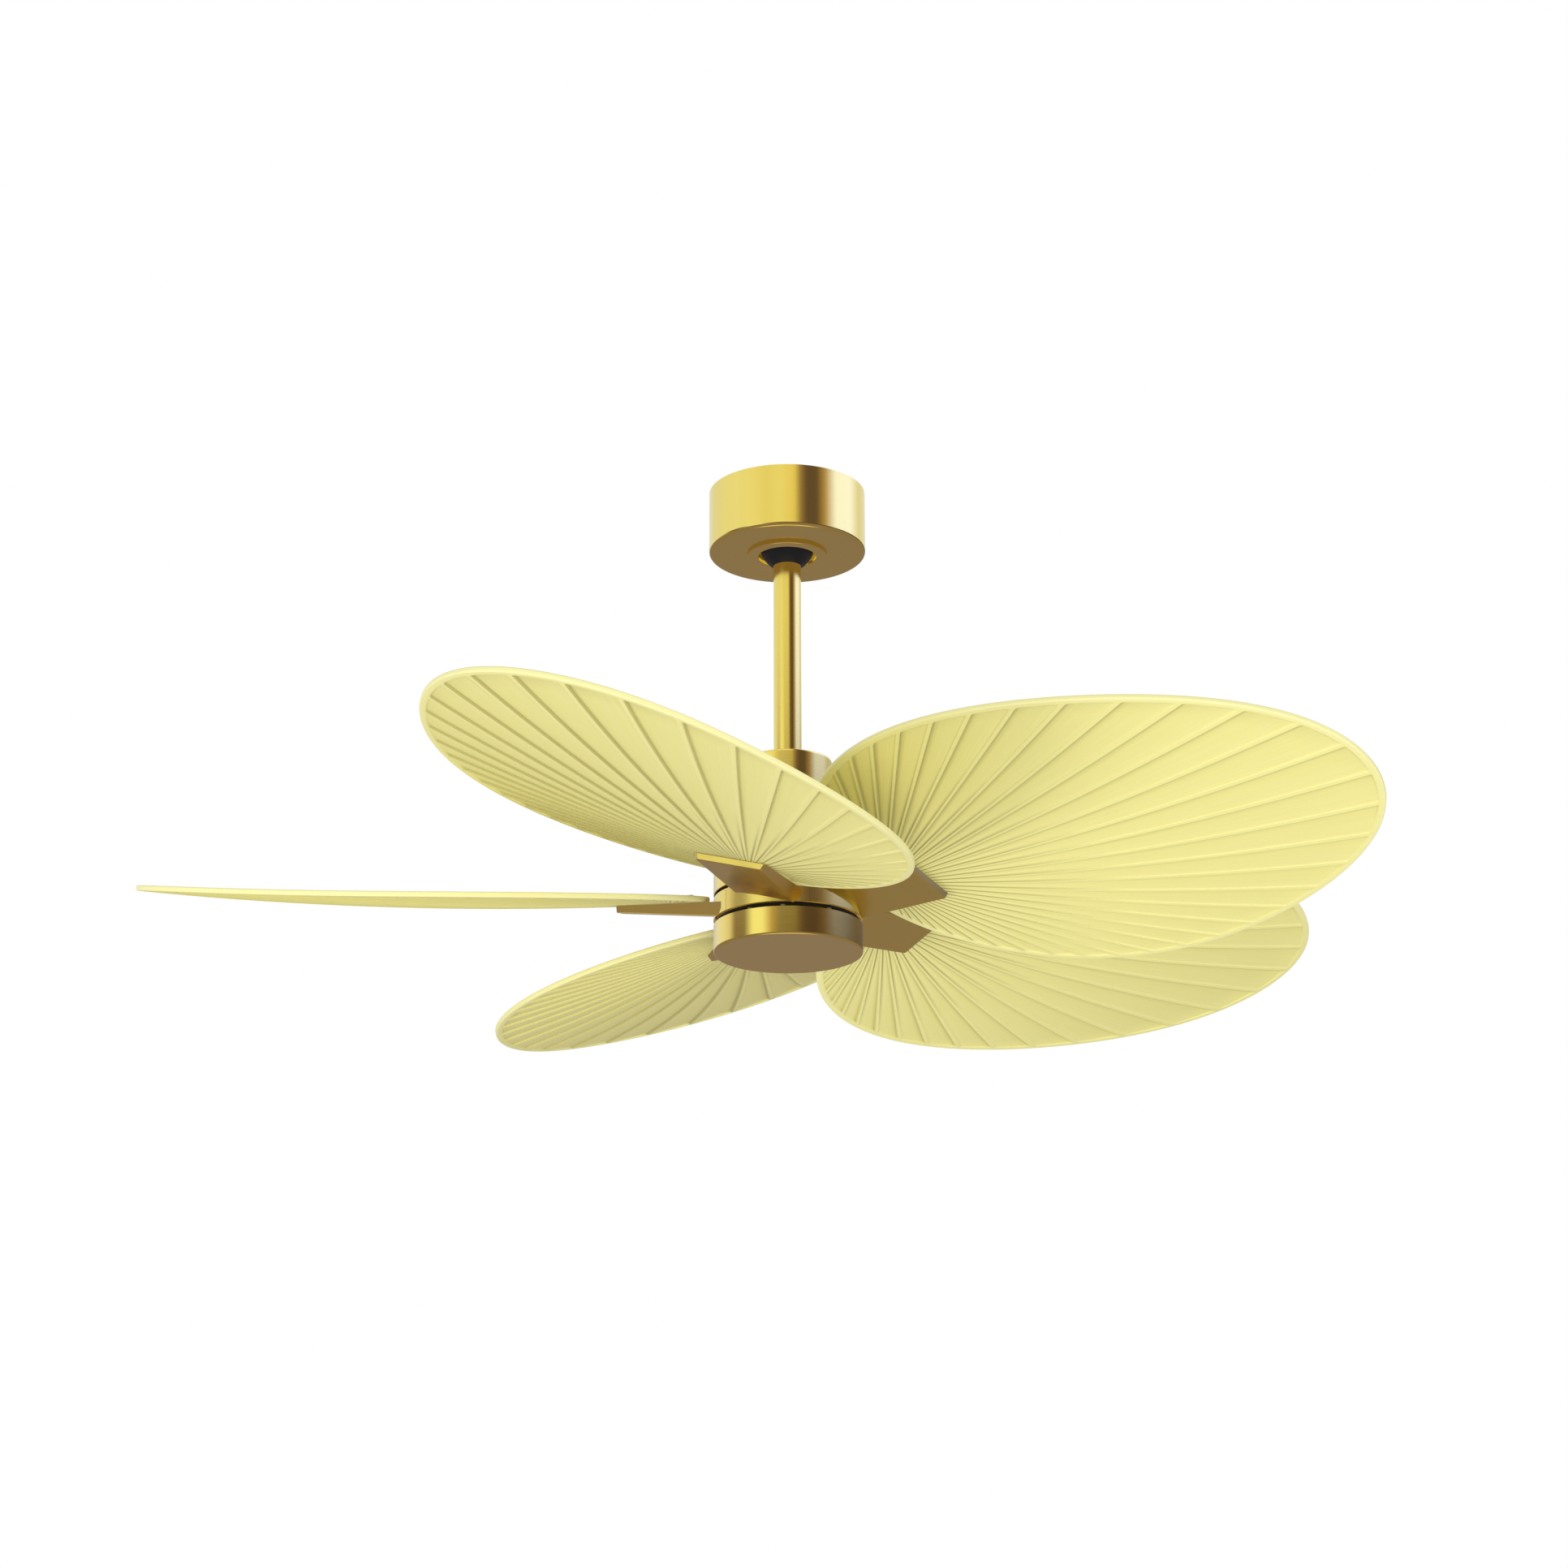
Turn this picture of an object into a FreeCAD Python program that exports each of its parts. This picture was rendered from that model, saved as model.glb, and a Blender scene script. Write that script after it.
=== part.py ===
import FreeCAD, Part
import math
import os

from FreeCAD import Placement, Rotation, Vector

# Ceiling fan with five palm-leaf blades, hung from a ball and a short downrod.
# Millimetres. The origin is on the fan's axis in the ceiling plane, +Z points up into the ceiling.

# General clearances
overrun = 2.0
seat_clearance = 0.05
running_clearance = 0.05
screw_clearance = 0.1

# Canopy and the ring that hides its screws
canopy_diameter = 163.0
canopy_height = 68.0
canopy_wall = 1.2
canopy_edge_radius = 4.0
canopy_hole_clearance = 3.9
canopy_ring_width = 11.5
canopy_ring_height = 3.2
canopy_ring_wall = 1.0
canopy_ring_edge_radius = 1.2
canopy_screw_diameter = 4.0
canopy_screw_head_diameter = 7.0
canopy_screw_head_height = 1.8

# Hanger ball and bracket
ball_diameter = 58.0
ball_above_floor = 12.0
ball_top_flat_rise = 19.0
socket_clearance = 0.3
socket_rise = 6.0
socket_wall = 4.2
socket_slot_clearance = 1.5
bracket_length = 117.0
bracket_width = 40.0
bracket_sheet = 2.5
bracket_bend_radius = 5.0
bracket_floor_clearance = 2.3
bracket_plate_margin = 2.5
ceiling_screw_spacing = 88.9
ceiling_slot_width = 5.2
ceiling_slot_length = 14.0
hanger_pin_diameter = 6.0
hanger_pin_inset = 4.0
ball_set_screw_diameter = 5.0
ball_set_screw_rise = 10.0
# The sphere's own seam lies between the holes
ball_seam_turn = 45.0

# Receiver that rides in the bracket
receiver_length = 68.0
receiver_width = 36.0
receiver_corner_radius = 3.0
receiver_clearance = 4.0

# Downrod and the coupling at its lower end
rod_diameter = 28.6
rod_wall = 2.6
rod_length = 304.8
rod_rise = 21.0
cover_diameter = 90.4
cover_height = 78.6
cover_wall = 1.2
cover_edge_radius = 1.5
cover_rod_clearance = 0.7
coupling_wall = 6.7
coupling_drop = 35.2
coupling_top_clearance = 7.4
coupling_flange_height = 6.0
coupling_flange_clearance = 4.0
coupling_wire_hole_diameter = 11.0
coupling_pin_diameter = 6.4
coupling_pin_stand_out = 5.0
cotter_wire_diameter = 1.8
cotter_length = 13.0
cotter_eye_diameter = 6.0
coupling_set_screw_diameter = 6.0
coupling_set_screw_stand_out = 2.5
housing_screw_count = 4
housing_screw_turn = 45.0
housing_screw_diameter = 4.0
housing_screw_head_diameter = 7.0
housing_screw_head_height = 2.6

# Housing: fixed upper shell, turning ring, fixed bottom cap
housing_diameter = 150.8
housing_height = 64.7
housing_wall = 1.2
housing_edge_radius = 3.0
housing_hole_clearance = 3.5
upper_gap = 3.8
ring_height = 22.4
lower_gap = 5.3
cap_height = 28.7
cap_wall = 1.2
cap_floor = 1.5
cap_edge_radius = 2.2
cap_lug_count = 3
cap_lug_angle = 12.0
cap_lug_height = 1.8
cap_lug_reach = 5.0
cap_lug_clearance = 0.4
lug_notch_turn = 40.0
lug_notch_angle = 16.0

# Motor: fixed shaft and stator, turning case
shaft_diameter = 17.0
shaft_bore_diameter = 10.0
shaft_seat_depth = 25.0
shaft_thread_length = 12.0
bearing_diameter = 35.0
bearing_width = 10.0
bearing_split_diameter = 25.0
bearing_lip = 2.0
bearing_seat_wall = 4.5
case_headroom = 23.0
case_wall = 3.9
case_plate = 3.0
case_flange_height = 3.5
case_foot_height = 2.0
case_running_gap = 2.2
ring_depth = 13.4
magnet_count = 10
magnet_thickness = 3.5
magnet_length = 28.0
magnet_angle = 31.0
air_gap = 1.0
stator_height = 22.0
stator_hub_diameter = 52.0
tooth_count = 12
tooth_width = 7.6
tooth_tip_thickness = 4.0
tooth_tip_angle = 25.0
coil_thickness = 2.2
coil_end_gap = 1.5
lower_plate_drop = 3.3
lower_plate_thickness = 2.5
nut_across_flats = 27.0
nut_height = 8.0

# Blades: a leaf cut from a shallow spherical dish, pitched and slightly raised at the tip
blade_count = 5
first_blade_angle = 34.44
blade_tip_radius = 660.4
blade_hub_gap = 4.6
blade_width = 455.4
leaf_egg_share = 0.17
leaf_tip_share = 0.08
leaf_base_share = 0.99
outline_points = 36
blade_pitch = 15.36
blade_rise = 1.79
blade_drop = 4.2
dish_radius = 3700.0
blade_thickness = 5.3
rim_width = 6.0
rib_height = 1.5
rib_start_width = 4.2
rib_end_width = 10.4
ribs_per_turn = 66
rib_pairs = 21
rib_start = 52.0
boss_height = 0.4
boss_length = 80.0
boss_width = 60.0

# Blade arms, each with its own fifth of the turning ring
arm_pad_offset = 44.6
arm_reach = 96.0
arm_width = 76.8
arm_tip_thickness = 6.4
arm_root_thickness = 14.8
arm_root_inset = 9.0
arm_corner_radius = 2.5
arm_edge_radius = 1.0
arm_draft_share = 0.42
arm_standoff = 1.2
arm_neck_inset = 0.4
ring_seam = 0.4
blade_screw_diameter = 5.0
blade_screw_head_diameter = 9.0
blade_screw_head_height = 2.4
blade_screw_depth = 5.0
blade_screw_spread = 40.0
blade_screw_inner_offset = 22.0
blade_screw_outer_offset = 28.0
arm_screw_spread_angle = 30.0
arm_screw_diameter = 5.0
arm_screw_head_diameter = 8.5
arm_screw_head_height = 3.0

# Radii and levels worked out from the sizes above
up = Vector(0, 0, 1)
origin = Vector(0, 0, 0)
canopy_radius = canopy_diameter / 2
ball_radius = ball_diameter / 2
rod_radius = rod_diameter / 2
cover_radius = cover_diameter / 2
housing_radius = housing_diameter / 2
shaft_radius = shaft_diameter / 2
bearing_radius = bearing_diameter / 2
bearing_split_radius = bearing_split_diameter / 2

canopy_floor_z = -canopy_height
ball_z = canopy_floor_z + ball_above_floor
canopy_hole_radius = math.sqrt(ball_radius**2 - ball_above_floor**2) + canopy_hole_clearance
canopy_screw_radius = canopy_hole_radius + canopy_ring_width / 2
bracket_floor_z = canopy_floor_z + canopy_wall + bracket_floor_clearance
socket_radius = ball_radius + socket_clearance
socket_outer_radius = socket_radius + socket_wall

rod_top_z = ball_z + rod_rise
rod_end_z = rod_top_z - rod_length
housing_top_z = rod_end_z - coupling_drop
cover_top_z = housing_top_z + cover_height
coupling_top_z = cover_top_z - cover_wall - coupling_top_clearance
coupling_pin_z = (coupling_top_z + rod_end_z) / 2
coupling_radius = rod_radius + seat_clearance + coupling_wall
coupling_flange_radius = cover_radius - cover_wall - coupling_flange_clearance
housing_screw_radius = (coupling_radius + coupling_flange_radius) / 2

housing_bottom_z = housing_top_z - housing_height
ring_top_z = housing_bottom_z - upper_gap
ring_bottom_z = ring_top_z - ring_height
ring_middle_z = (ring_top_z + ring_bottom_z) / 2
cap_top_z = ring_bottom_z - lower_gap
cap_bottom_z = cap_top_z - cap_height
lower_plate_z = cap_top_z - lower_plate_drop
shaft_top_z = housing_top_z + shaft_seat_depth
shaft_bottom_z = lower_plate_z - lower_plate_thickness - shaft_thread_length

case_radius = housing_radius - ring_depth - seat_clearance
case_inner_radius = case_radius - case_wall
case_flange_radius = housing_radius - housing_wall - case_running_gap
case_top_z = housing_top_z - case_headroom
case_base_z = ring_bottom_z - case_foot_height
arm_screw_radius = (case_radius + case_flange_radius) / 2
stator_radius = case_inner_radius - seat_clearance - magnet_thickness - air_gap
stator_z = (case_top_z + case_base_z) / 2

blade_inner_radius = housing_radius + blade_hub_gap
leaf_centre = (blade_tip_radius + blade_inner_radius) / 2
leaf_half_length = (blade_tip_radius - blade_inner_radius) / 2
leaf_half_width = blade_width / 2
pad_radius = housing_radius + arm_pad_offset
pad_tilt = math.asin((pad_radius - leaf_centre) / dish_radius)
pad_height = dish_radius * (1 - math.cos(pad_tilt))
blade_step = 360.0 / blade_count
blade_angles = [first_blade_angle + blade_step * index for index in range(blade_count)]

# The leaf frame: X out along the blade, Y across it, Z off its upper side, before the turn to its place
leaf_frame = Placement(
    Vector(0, 0, ring_middle_z - blade_drop),
    Rotation(Vector(0, 1, 0), -blade_rise) * Rotation(Vector(1, 0, 0), -blade_pitch),
)
# The pad frame touches the dish where the arm carries the blade
pad_in_leaf = Placement(
    Vector(pad_radius, 0, pad_height), Rotation(Vector(0, 1, 0), -math.degrees(pad_tilt))
)
pad_frame = leaf_frame * pad_in_leaf


def rod(radius, start, end):
    """Solid cylinder from one point to another."""
    axis = end - start
    return Part.makeCylinder(radius, axis.Length, start, axis)


def disc(radius, z_top, z_bottom):
    """Solid cylinder on the fan's axis between two levels."""
    return Part.makeCylinder(radius, z_top - z_bottom, Vector(0, 0, z_bottom))


def tube(radius, bore_radius, z_top, z_bottom):
    """Ring on the fan's axis between two levels."""
    return disc(radius, z_top, z_bottom).cut(disc(bore_radius, z_top + overrun, z_bottom - overrun))


def turned(points):
    """Solid of revolution about the fan's axis from (radius, level) corners."""
    corners = [Vector(radius, 0, level) for radius, level in points]
    face = Part.Face(Part.makePolygon(corners + corners[:1]))
    return face.revolve(origin, up, 360)


def sector(radius, bore_radius, z_top, z_bottom, middle, width):
    """Part of a ring, width degrees wide about the angle called middle."""
    start = Vector(bore_radius, 0, z_bottom)
    end = Vector(radius, 0, z_bottom)
    lift = Vector(0, 0, z_top - z_bottom)
    face = Part.Face(Part.makePolygon([start, end, end + lift, start + lift, start]))
    return turn(face.revolve(origin, up, width), middle - width / 2)


def turn(shape, angle):
    """Copy of a shape turned about the fan's axis."""
    copy = shape.copy()
    copy.rotate(origin, up, angle)
    return copy


def placed(shape, placement):
    """Copy of a shape carried from a local frame into the fan's frame."""
    copy = shape.copy()
    copy.Placement = placement * copy.Placement
    return copy


def round_edges(shape, radius, level):
    """Fillet the circles that lie at one level."""
    near = radius / 2
    flat = [edge for edge in shape.Edges if edge.BoundBox.ZLength < near]
    return shape.makeFillet(radius, [edge for edge in flat if abs(edge.CenterOfMass.z - level) < near])


def cup(radius, wall, floor, edge_radius, z_open, z_floor):
    """Thin round cup with a rounded floor edge, open at z_open and closed at z_floor."""
    way = 1 if z_open > z_floor else -1
    outer = disc(radius, max(z_open, z_floor), min(z_open, z_floor))
    outer = round_edges(outer, edge_radius, z_floor)
    mouth = z_open + way * overrun
    inner_floor = z_floor + way * floor
    inner = disc(radius - wall, max(mouth, inner_floor), min(mouth, inner_floor))
    inner = round_edges(inner, max(edge_radius - wall, wall / 2), inner_floor)
    return outer.cut(inner)


def headed_screw(radius, head_radius, head_height, seat, tip):
    """Screw from its head's seat to its tip, with a slightly domed head."""
    along = tip - seat
    axis = Vector(along)
    axis.normalize()
    crown = seat - axis * head_height
    head = Part.makeCone(head_radius, (radius + head_radius) / 2, head_height, seat, crown - seat)
    return head.fuse(rod(radius, seat, tip))


def screw_hole(diameter, at, depth):
    """Clearance hole for a screw, from a point down through a depth."""
    return rod(diameter / 2 + screw_clearance, at + up * overrun, at - up * (depth + overrun))


def around(count, start=0.0):
    """Evenly spaced angles in degrees."""
    return [start + 360.0 * i / count for i in range(count)]


# Ceiling mount


def ceiling_bracket():
    """Bent sheet loop screwed to the ceiling box, with the socket that the hanger ball drops into."""
    half = bracket_length / 2
    bend = bracket_bend_radius
    corner = Vector(-half, -bracket_width / 2, bracket_floor_z)
    loop = Part.makeBox(bracket_length, bracket_width, -bracket_floor_z, corner)
    loop = loop.makeFillet(bend, edges_along_y(loop))
    inside = Part.makeBox(
        bracket_length - 2 * bracket_sheet,
        bracket_width + 2 * overrun,
        -bracket_floor_z - 2 * bracket_sheet,
        corner + Vector(bracket_sheet, -overrun, bracket_sheet),
    )
    inside = inside.makeFillet(bend / 2, edges_along_y(inside))
    plate_reach = socket_outer_radius + bracket_plate_margin
    plate = disc(plate_reach, bracket_floor_z + bracket_sheet, bracket_floor_z)
    collar = disc(socket_outer_radius, ball_z + socket_rise, bracket_floor_z)
    bracket = loop.cut(inside).fuse([plate, collar])
    slot_half = rod_radius + socket_slot_clearance
    way_in = Part.makeBox(
        2 * slot_half, plate_reach + overrun, -bracket_floor_z - bracket_sheet + overrun,
        Vector(-slot_half, 0, bracket_floor_z - overrun),
    )
    cuts = [Part.makeSphere(socket_radius, Vector(0, 0, ball_z)), way_in]
    cuts += [ceiling_slot(side) for side in (-1, 1)]
    cuts += [
        screw_hole(canopy_screw_diameter, at, bracket_sheet)
        for at in canopy_screw_places(bracket_floor_z + bracket_sheet)
    ]
    return bracket.cut(cuts).removeSplitter()


def edges_along_y(shape):
    """The straight edges of a block that run along Y."""
    return [e for e in shape.Edges if e.BoundBox.XLength + e.BoundBox.ZLength < e.Length / 2]


def ceiling_slot(side):
    """Slotted hole for one ceiling-box screw, long in X."""
    run = ceiling_slot_length - ceiling_slot_width
    middle = side * ceiling_screw_spacing / 2
    depth = bracket_sheet + 2 * overrun
    base = -bracket_sheet - overrun
    half_width = ceiling_slot_width / 2
    slot = Part.makeBox(run, ceiling_slot_width, depth, Vector(middle - run / 2, -half_width, base))
    centres = [Vector(middle + end * run / 2, 0, base) for end in (-1, 1)]
    return slot.fuse([Part.makeCylinder(half_width, depth, centre) for centre in centres])


def canopy_screw_places(level):
    """The two points where screws hold the canopy to the bracket."""
    return [Vector(side * canopy_screw_radius, 0, level) for side in (-1, 1)]


def receiver():
    """Sealed remote-control receiver lying under the top of the bracket."""
    reach = math.hypot(rod_rise, rod_radius)
    height = -ball_z - bracket_sheet - reach - receiver_clearance
    box = Part.makeBox(
        receiver_length, receiver_width, height,
        Vector(-receiver_length / 2, -receiver_width / 2, -bracket_sheet - height),
    )
    uprights = [e for e in box.Edges if e.BoundBox.ZLength > height / 2]
    return box.makeFillet(receiver_corner_radius, uprights)


def canopy():
    """Round cup that hides the bracket against the ceiling, with a hole that shows the ball."""
    shell = cup(canopy_radius, canopy_wall, canopy_wall, canopy_edge_radius, 0, canopy_floor_z)
    hole = disc(canopy_hole_radius, canopy_floor_z + canopy_wall + overrun, canopy_floor_z - overrun)
    holes = [
        screw_hole(canopy_screw_diameter, at, canopy_wall)
        for at in canopy_screw_places(canopy_floor_z + canopy_wall)
    ]
    return shell.cut([hole] + holes)


def canopy_ring():
    """Trim ring round the hole, grooved on top to clear the canopy screws."""
    outer = canopy_hole_radius + canopy_ring_width
    bottom = canopy_floor_z - canopy_ring_height
    ring = tube(outer, canopy_hole_radius, canopy_floor_z, bottom)
    ring = round_edges(ring, canopy_ring_edge_radius, bottom)
    groove_inner = canopy_hole_radius + canopy_ring_wall
    groove_outer = outer - canopy_ring_wall
    return ring.cut(tube(groove_outer, groove_inner, canopy_floor_z + overrun, bottom + canopy_ring_wall))


def canopy_screws():
    """The screws that pull the canopy up to the bracket."""
    radius = canopy_screw_diameter / 2
    length = canopy_wall + bracket_floor_clearance + bracket_sheet
    return Part.makeCompound([
        headed_screw(radius, canopy_screw_head_diameter / 2, canopy_screw_head_height, at, at + up * length)
        for at in canopy_screw_places(canopy_floor_z)
    ])


# Hanger and downrod


def pin_along(axis, radius, half_length, level):
    """Round pin across the fan's axis."""
    middle = Vector(0, 0, level)
    return rod(radius, middle - axis * half_length, middle + axis * half_length)


def hanger_pin():
    """Cross pin that carries the rod in the ball."""
    return pin_along(Vector(0, 1, 0), hanger_pin_diameter / 2, ball_radius - hanger_pin_inset, ball_z)


def hanger_pin_hole():
    """Hole for the cross pin."""
    radius = hanger_pin_diameter / 2 + running_clearance
    return pin_along(Vector(0, 1, 0), radius, ball_radius + overrun, ball_z)


def hanger_set_screw():
    """Set screw that locks the ball to the rod, sunk in the ball."""
    level = ball_z + ball_set_screw_rise
    radius = ball_set_screw_diameter / 2
    reach = math.sqrt(ball_radius**2 - ball_set_screw_rise**2) - radius
    return rod(radius, Vector(rod_radius + seat_clearance, 0, level), Vector(reach, 0, level))


def hanger_set_screw_hole():
    """Hole for the set screw, from inside the ball's bore to past its outside."""
    level = ball_z + ball_set_screw_rise
    radius = ball_set_screw_diameter / 2 + screw_clearance
    return rod(radius, Vector(rod_radius - overrun, 0, level), Vector(ball_radius + overrun, 0, level))


def hanger_ball():
    """Half-open ball that swivels in the bracket, bored for the rod."""
    ball = turn(Part.makeSphere(ball_radius, Vector(0, 0, ball_z)), ball_seam_turn)
    top = disc(ball_radius + overrun, ball_z + ball_radius + overrun, ball_z + ball_top_flat_rise)
    bore = disc(rod_radius + seat_clearance, ball_z + ball_radius + overrun, ball_z - ball_radius - overrun)
    return ball.cut([top, bore, hanger_pin_hole(), hanger_set_screw_hole()])


def downrod():
    """Steel tube with a pin hole near each end."""
    tube_body = tube(rod_radius, rod_radius - rod_wall, rod_top_z, rod_end_z)
    return tube_body.cut([hanger_pin_hole(), coupling_pin_hole()])


def coupling_pin_hole():
    """Hole for the pin that carries the motor on the rod."""
    reach = coupling_radius + coupling_pin_stand_out
    return pin_along(Vector(1, 0, 0), coupling_pin_diameter / 2 + seat_clearance, reach, coupling_pin_z)


def coupling_pin():
    """Clevis pin through the coupling and the rod, cross-drilled for its cotter."""
    reach = coupling_radius + coupling_pin_stand_out
    pin = pin_along(Vector(1, 0, 0), coupling_pin_diameter / 2, reach, coupling_pin_z)
    at = cotter_place()
    drill_radius = cotter_wire_diameter / 2 + seat_clearance
    return pin.cut(rod(drill_radius, at + up * cotter_length, at - up * cotter_length))


def cotter_place():
    """Where the cotter crosses the clevis pin."""
    return Vector(coupling_radius + coupling_pin_stand_out / 2, 0, coupling_pin_z)


def coupling_cotter():
    """Cotter with a round eye above the clevis pin."""
    wire = cotter_wire_diameter / 2
    at = cotter_place()
    top = at + up * (cotter_length / 2)
    shank = rod(wire, at - up * (cotter_length / 2), top)
    ring_radius = cotter_eye_diameter / 2 - wire
    eye = Part.makeTorus(ring_radius, wire, top + up * ring_radius, Vector(1, 0, 0))
    return shank.fuse(eye)


def coupling_set_screws():
    """Two set screws that steady the rod in the coupling."""
    radius = coupling_set_screw_diameter / 2
    reach = coupling_radius + coupling_set_screw_stand_out
    start = rod_radius + seat_clearance
    return Part.makeCompound([
        rod(radius, Vector(0, side * start, coupling_pin_z), Vector(0, side * reach, coupling_pin_z))
        for side in (-1, 1)
    ])


def coupling_set_screw_hole():
    """Hole right through the coupling for both set screws."""
    radius = coupling_set_screw_diameter / 2 + screw_clearance
    return pin_along(Vector(0, 1, 0), radius, coupling_radius + overrun, coupling_pin_z)


def housing_screw_places(level):
    """Points of the screws that hold the upper housing to the coupling's flange."""
    angles = around(housing_screw_count, housing_screw_turn)
    return [turn_point(housing_screw_radius, angle, level) for angle in angles]


def turn_point(radius, angle, level):
    """Point at a radius, an angle in degrees and a level."""
    turned_by = math.radians(angle)
    return Vector(radius * math.cos(turned_by), radius * math.sin(turned_by), level)


def motor_coupling():
    """Cast yoke: rod socket above, flange and shaft socket below."""
    body = disc(coupling_radius, coupling_top_z, housing_top_z)
    flange = disc(coupling_flange_radius, housing_top_z + coupling_flange_height, housing_top_z)
    cuts = [
        disc(rod_radius + seat_clearance, coupling_top_z + overrun, rod_end_z),
        disc(shaft_radius + seat_clearance, shaft_top_z, housing_top_z - overrun),
        disc(coupling_wire_hole_diameter / 2, rod_end_z + overrun, shaft_top_z - overrun),
        coupling_pin_hole(),
        coupling_set_screw_hole(),
    ]
    cuts += [
        screw_hole(housing_screw_diameter, at, coupling_flange_height)
        for at in housing_screw_places(housing_top_z + coupling_flange_height)
    ]
    return body.fuse(flange).cut(cuts).removeSplitter()


def coupling_cover():
    """Cylinder that slides down the rod over the coupling."""
    shell = cup(cover_radius, cover_wall, cover_wall, cover_edge_radius, housing_top_z, cover_top_z)
    hole_radius = rod_radius + cover_rod_clearance
    return shell.cut(disc(hole_radius, cover_top_z + overrun, cover_top_z - cover_wall - overrun))


def housing_screws():
    """Screws through the coupling's flange into the upper housing."""
    seat = housing_top_z + coupling_flange_height
    tip = Vector(0, 0, -coupling_flange_height - housing_wall)
    radius = housing_screw_diameter / 2
    return Part.makeCompound([
        headed_screw(radius, housing_screw_head_diameter / 2, housing_screw_head_height, at, at + tip)
        for at in housing_screw_places(seat)
    ])


# Housing


def upper_housing():
    """Fixed shell over the motor, closed on top and open below."""
    wall = housing_wall
    shell = cup(housing_radius, wall, wall, housing_edge_radius, housing_bottom_z, housing_top_z)
    hole_radius = shaft_radius + housing_hole_clearance
    hole = disc(hole_radius, housing_top_z + overrun, housing_top_z - wall - overrun)
    places = housing_screw_places(housing_top_z)
    return shell.cut([hole] + [screw_hole(housing_screw_diameter, at, wall) for at in places])


def bottom_cap():
    """Plain cap under the motor, hooked on the lower plate by three bayonet lugs."""
    shell = cup(housing_radius, cap_wall, cap_floor, cap_edge_radius, cap_top_z, cap_bottom_z)
    wall = housing_radius - cap_wall
    lug_top = lower_plate_z + cap_lug_height
    lugs = [
        sector(wall + cap_wall / 2, wall - cap_lug_reach, lug_top, lower_plate_z, angle, cap_lug_angle)
        for angle in around(cap_lug_count)
    ]
    return shell.fuse(lugs).removeSplitter()


def lower_plate():
    """Fixed plate on the shaft's end that carries the bottom cap, notched for the cap's lugs."""
    radius = housing_radius - cap_wall - cap_lug_clearance
    bottom = lower_plate_z - lower_plate_thickness
    plate = tube(radius, shaft_radius + seat_clearance, lower_plate_z, bottom)
    notch_floor = housing_radius - cap_wall - cap_lug_reach - cap_lug_clearance
    top = lower_plate_z + overrun
    notches = [
        sector(radius + overrun, notch_floor, top, bottom - overrun, angle, lug_notch_angle)
        for angle in around(cap_lug_count, lug_notch_turn)
    ]
    return plate.cut(notches)


def shaft_nut():
    """Hexagon nut that holds the lower plate on the shaft."""
    top = lower_plate_z - lower_plate_thickness
    corner = nut_across_flats / math.sqrt(3)
    corners = [turn_point(corner, angle, top) for angle in around(6)]
    hexagon = Part.Face(Part.makePolygon(corners + corners[:1])).extrude(-up * nut_height)
    return hexagon.cut(disc(shaft_radius + seat_clearance, top + overrun, top - nut_height - overrun))


# Motor


def motor_shaft():
    """Hollow fixed shaft from the coupling down to the lower plate."""
    return tube(shaft_radius, shaft_bore_diameter / 2, shaft_top_z, shaft_bottom_z)


def bearing_levels():
    """Top levels of the upper and lower bearing."""
    return [case_top_z - bearing_lip, case_base_z + bearing_lip + bearing_width]


def bearing_inner_races():
    """Rings of both bearings that sit on the shaft."""
    radius = bearing_split_radius - running_clearance
    bore = shaft_radius + seat_clearance
    return Part.makeCompound([tube(radius, bore, top, top - bearing_width) for top in bearing_levels()])


def bearing_outer_races():
    """Rings of both bearings that sit in the motor case."""
    return Part.makeCompound([
        tube(bearing_radius, bearing_split_radius, top, top - bearing_width) for top in bearing_levels()
    ])


def case_profile(end_z, way, joint_z, flange):
    """Corners of half the motor case, from its end plate to the joint; way is +1 if the end is below."""
    seat = bearing_radius + seat_clearance
    boss = seat + bearing_seat_wall
    lip = end_z + way * bearing_lip
    boss_end = lip + way * bearing_width
    plate = end_z + way * case_plate
    return [
        (bearing_split_radius + bearing_lip, end_z),
        *flange,
        (case_inner_radius, joint_z),
        (case_inner_radius, plate),
        (boss, plate),
        (boss, boss_end),
        (seat, boss_end),
        (seat, lip),
        (bearing_split_radius + bearing_lip, lip),
    ]


def arm_screw_places(arm_angles, level):
    """Points of the two screws of each arm."""
    half = arm_screw_spread_angle / 2
    angles = [angle + side * half for angle in arm_angles for side in (-1, 1)]
    return [turn_point(arm_screw_radius, angle, level) for angle in angles]


def arm_screw_holes(arm_angles, level, depth):
    """Holes for the arm screws from a level down."""
    return [screw_hole(arm_screw_diameter, at, depth) for at in arm_screw_places(arm_angles, level)]


def rotor_upper_case():
    """Turning upper half of the motor case with the flange that the arms hang from."""
    flange_top = ring_top_z + case_flange_height
    flange = [
        (case_radius, case_top_z),
        (case_radius, flange_top),
        (case_flange_radius, flange_top),
        (case_flange_radius, ring_top_z),
    ]
    case = turned(case_profile(case_top_z, -1, ring_top_z, flange))
    return case.cut(arm_screw_holes(blade_angles, flange_top, case_flange_height))


def rotor_lower_case():
    """Turning lower half of the motor case with the foot that the arm screws thread into."""
    flange = [
        (case_flange_radius, case_base_z),
        (case_flange_radius, ring_bottom_z),
        (case_radius, ring_bottom_z),
        (case_radius, ring_top_z),
    ]
    case = turned(case_profile(case_base_z, 1, ring_top_z, flange))
    return case.cut(arm_screw_holes(blade_angles, ring_bottom_z, case_foot_height))


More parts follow.
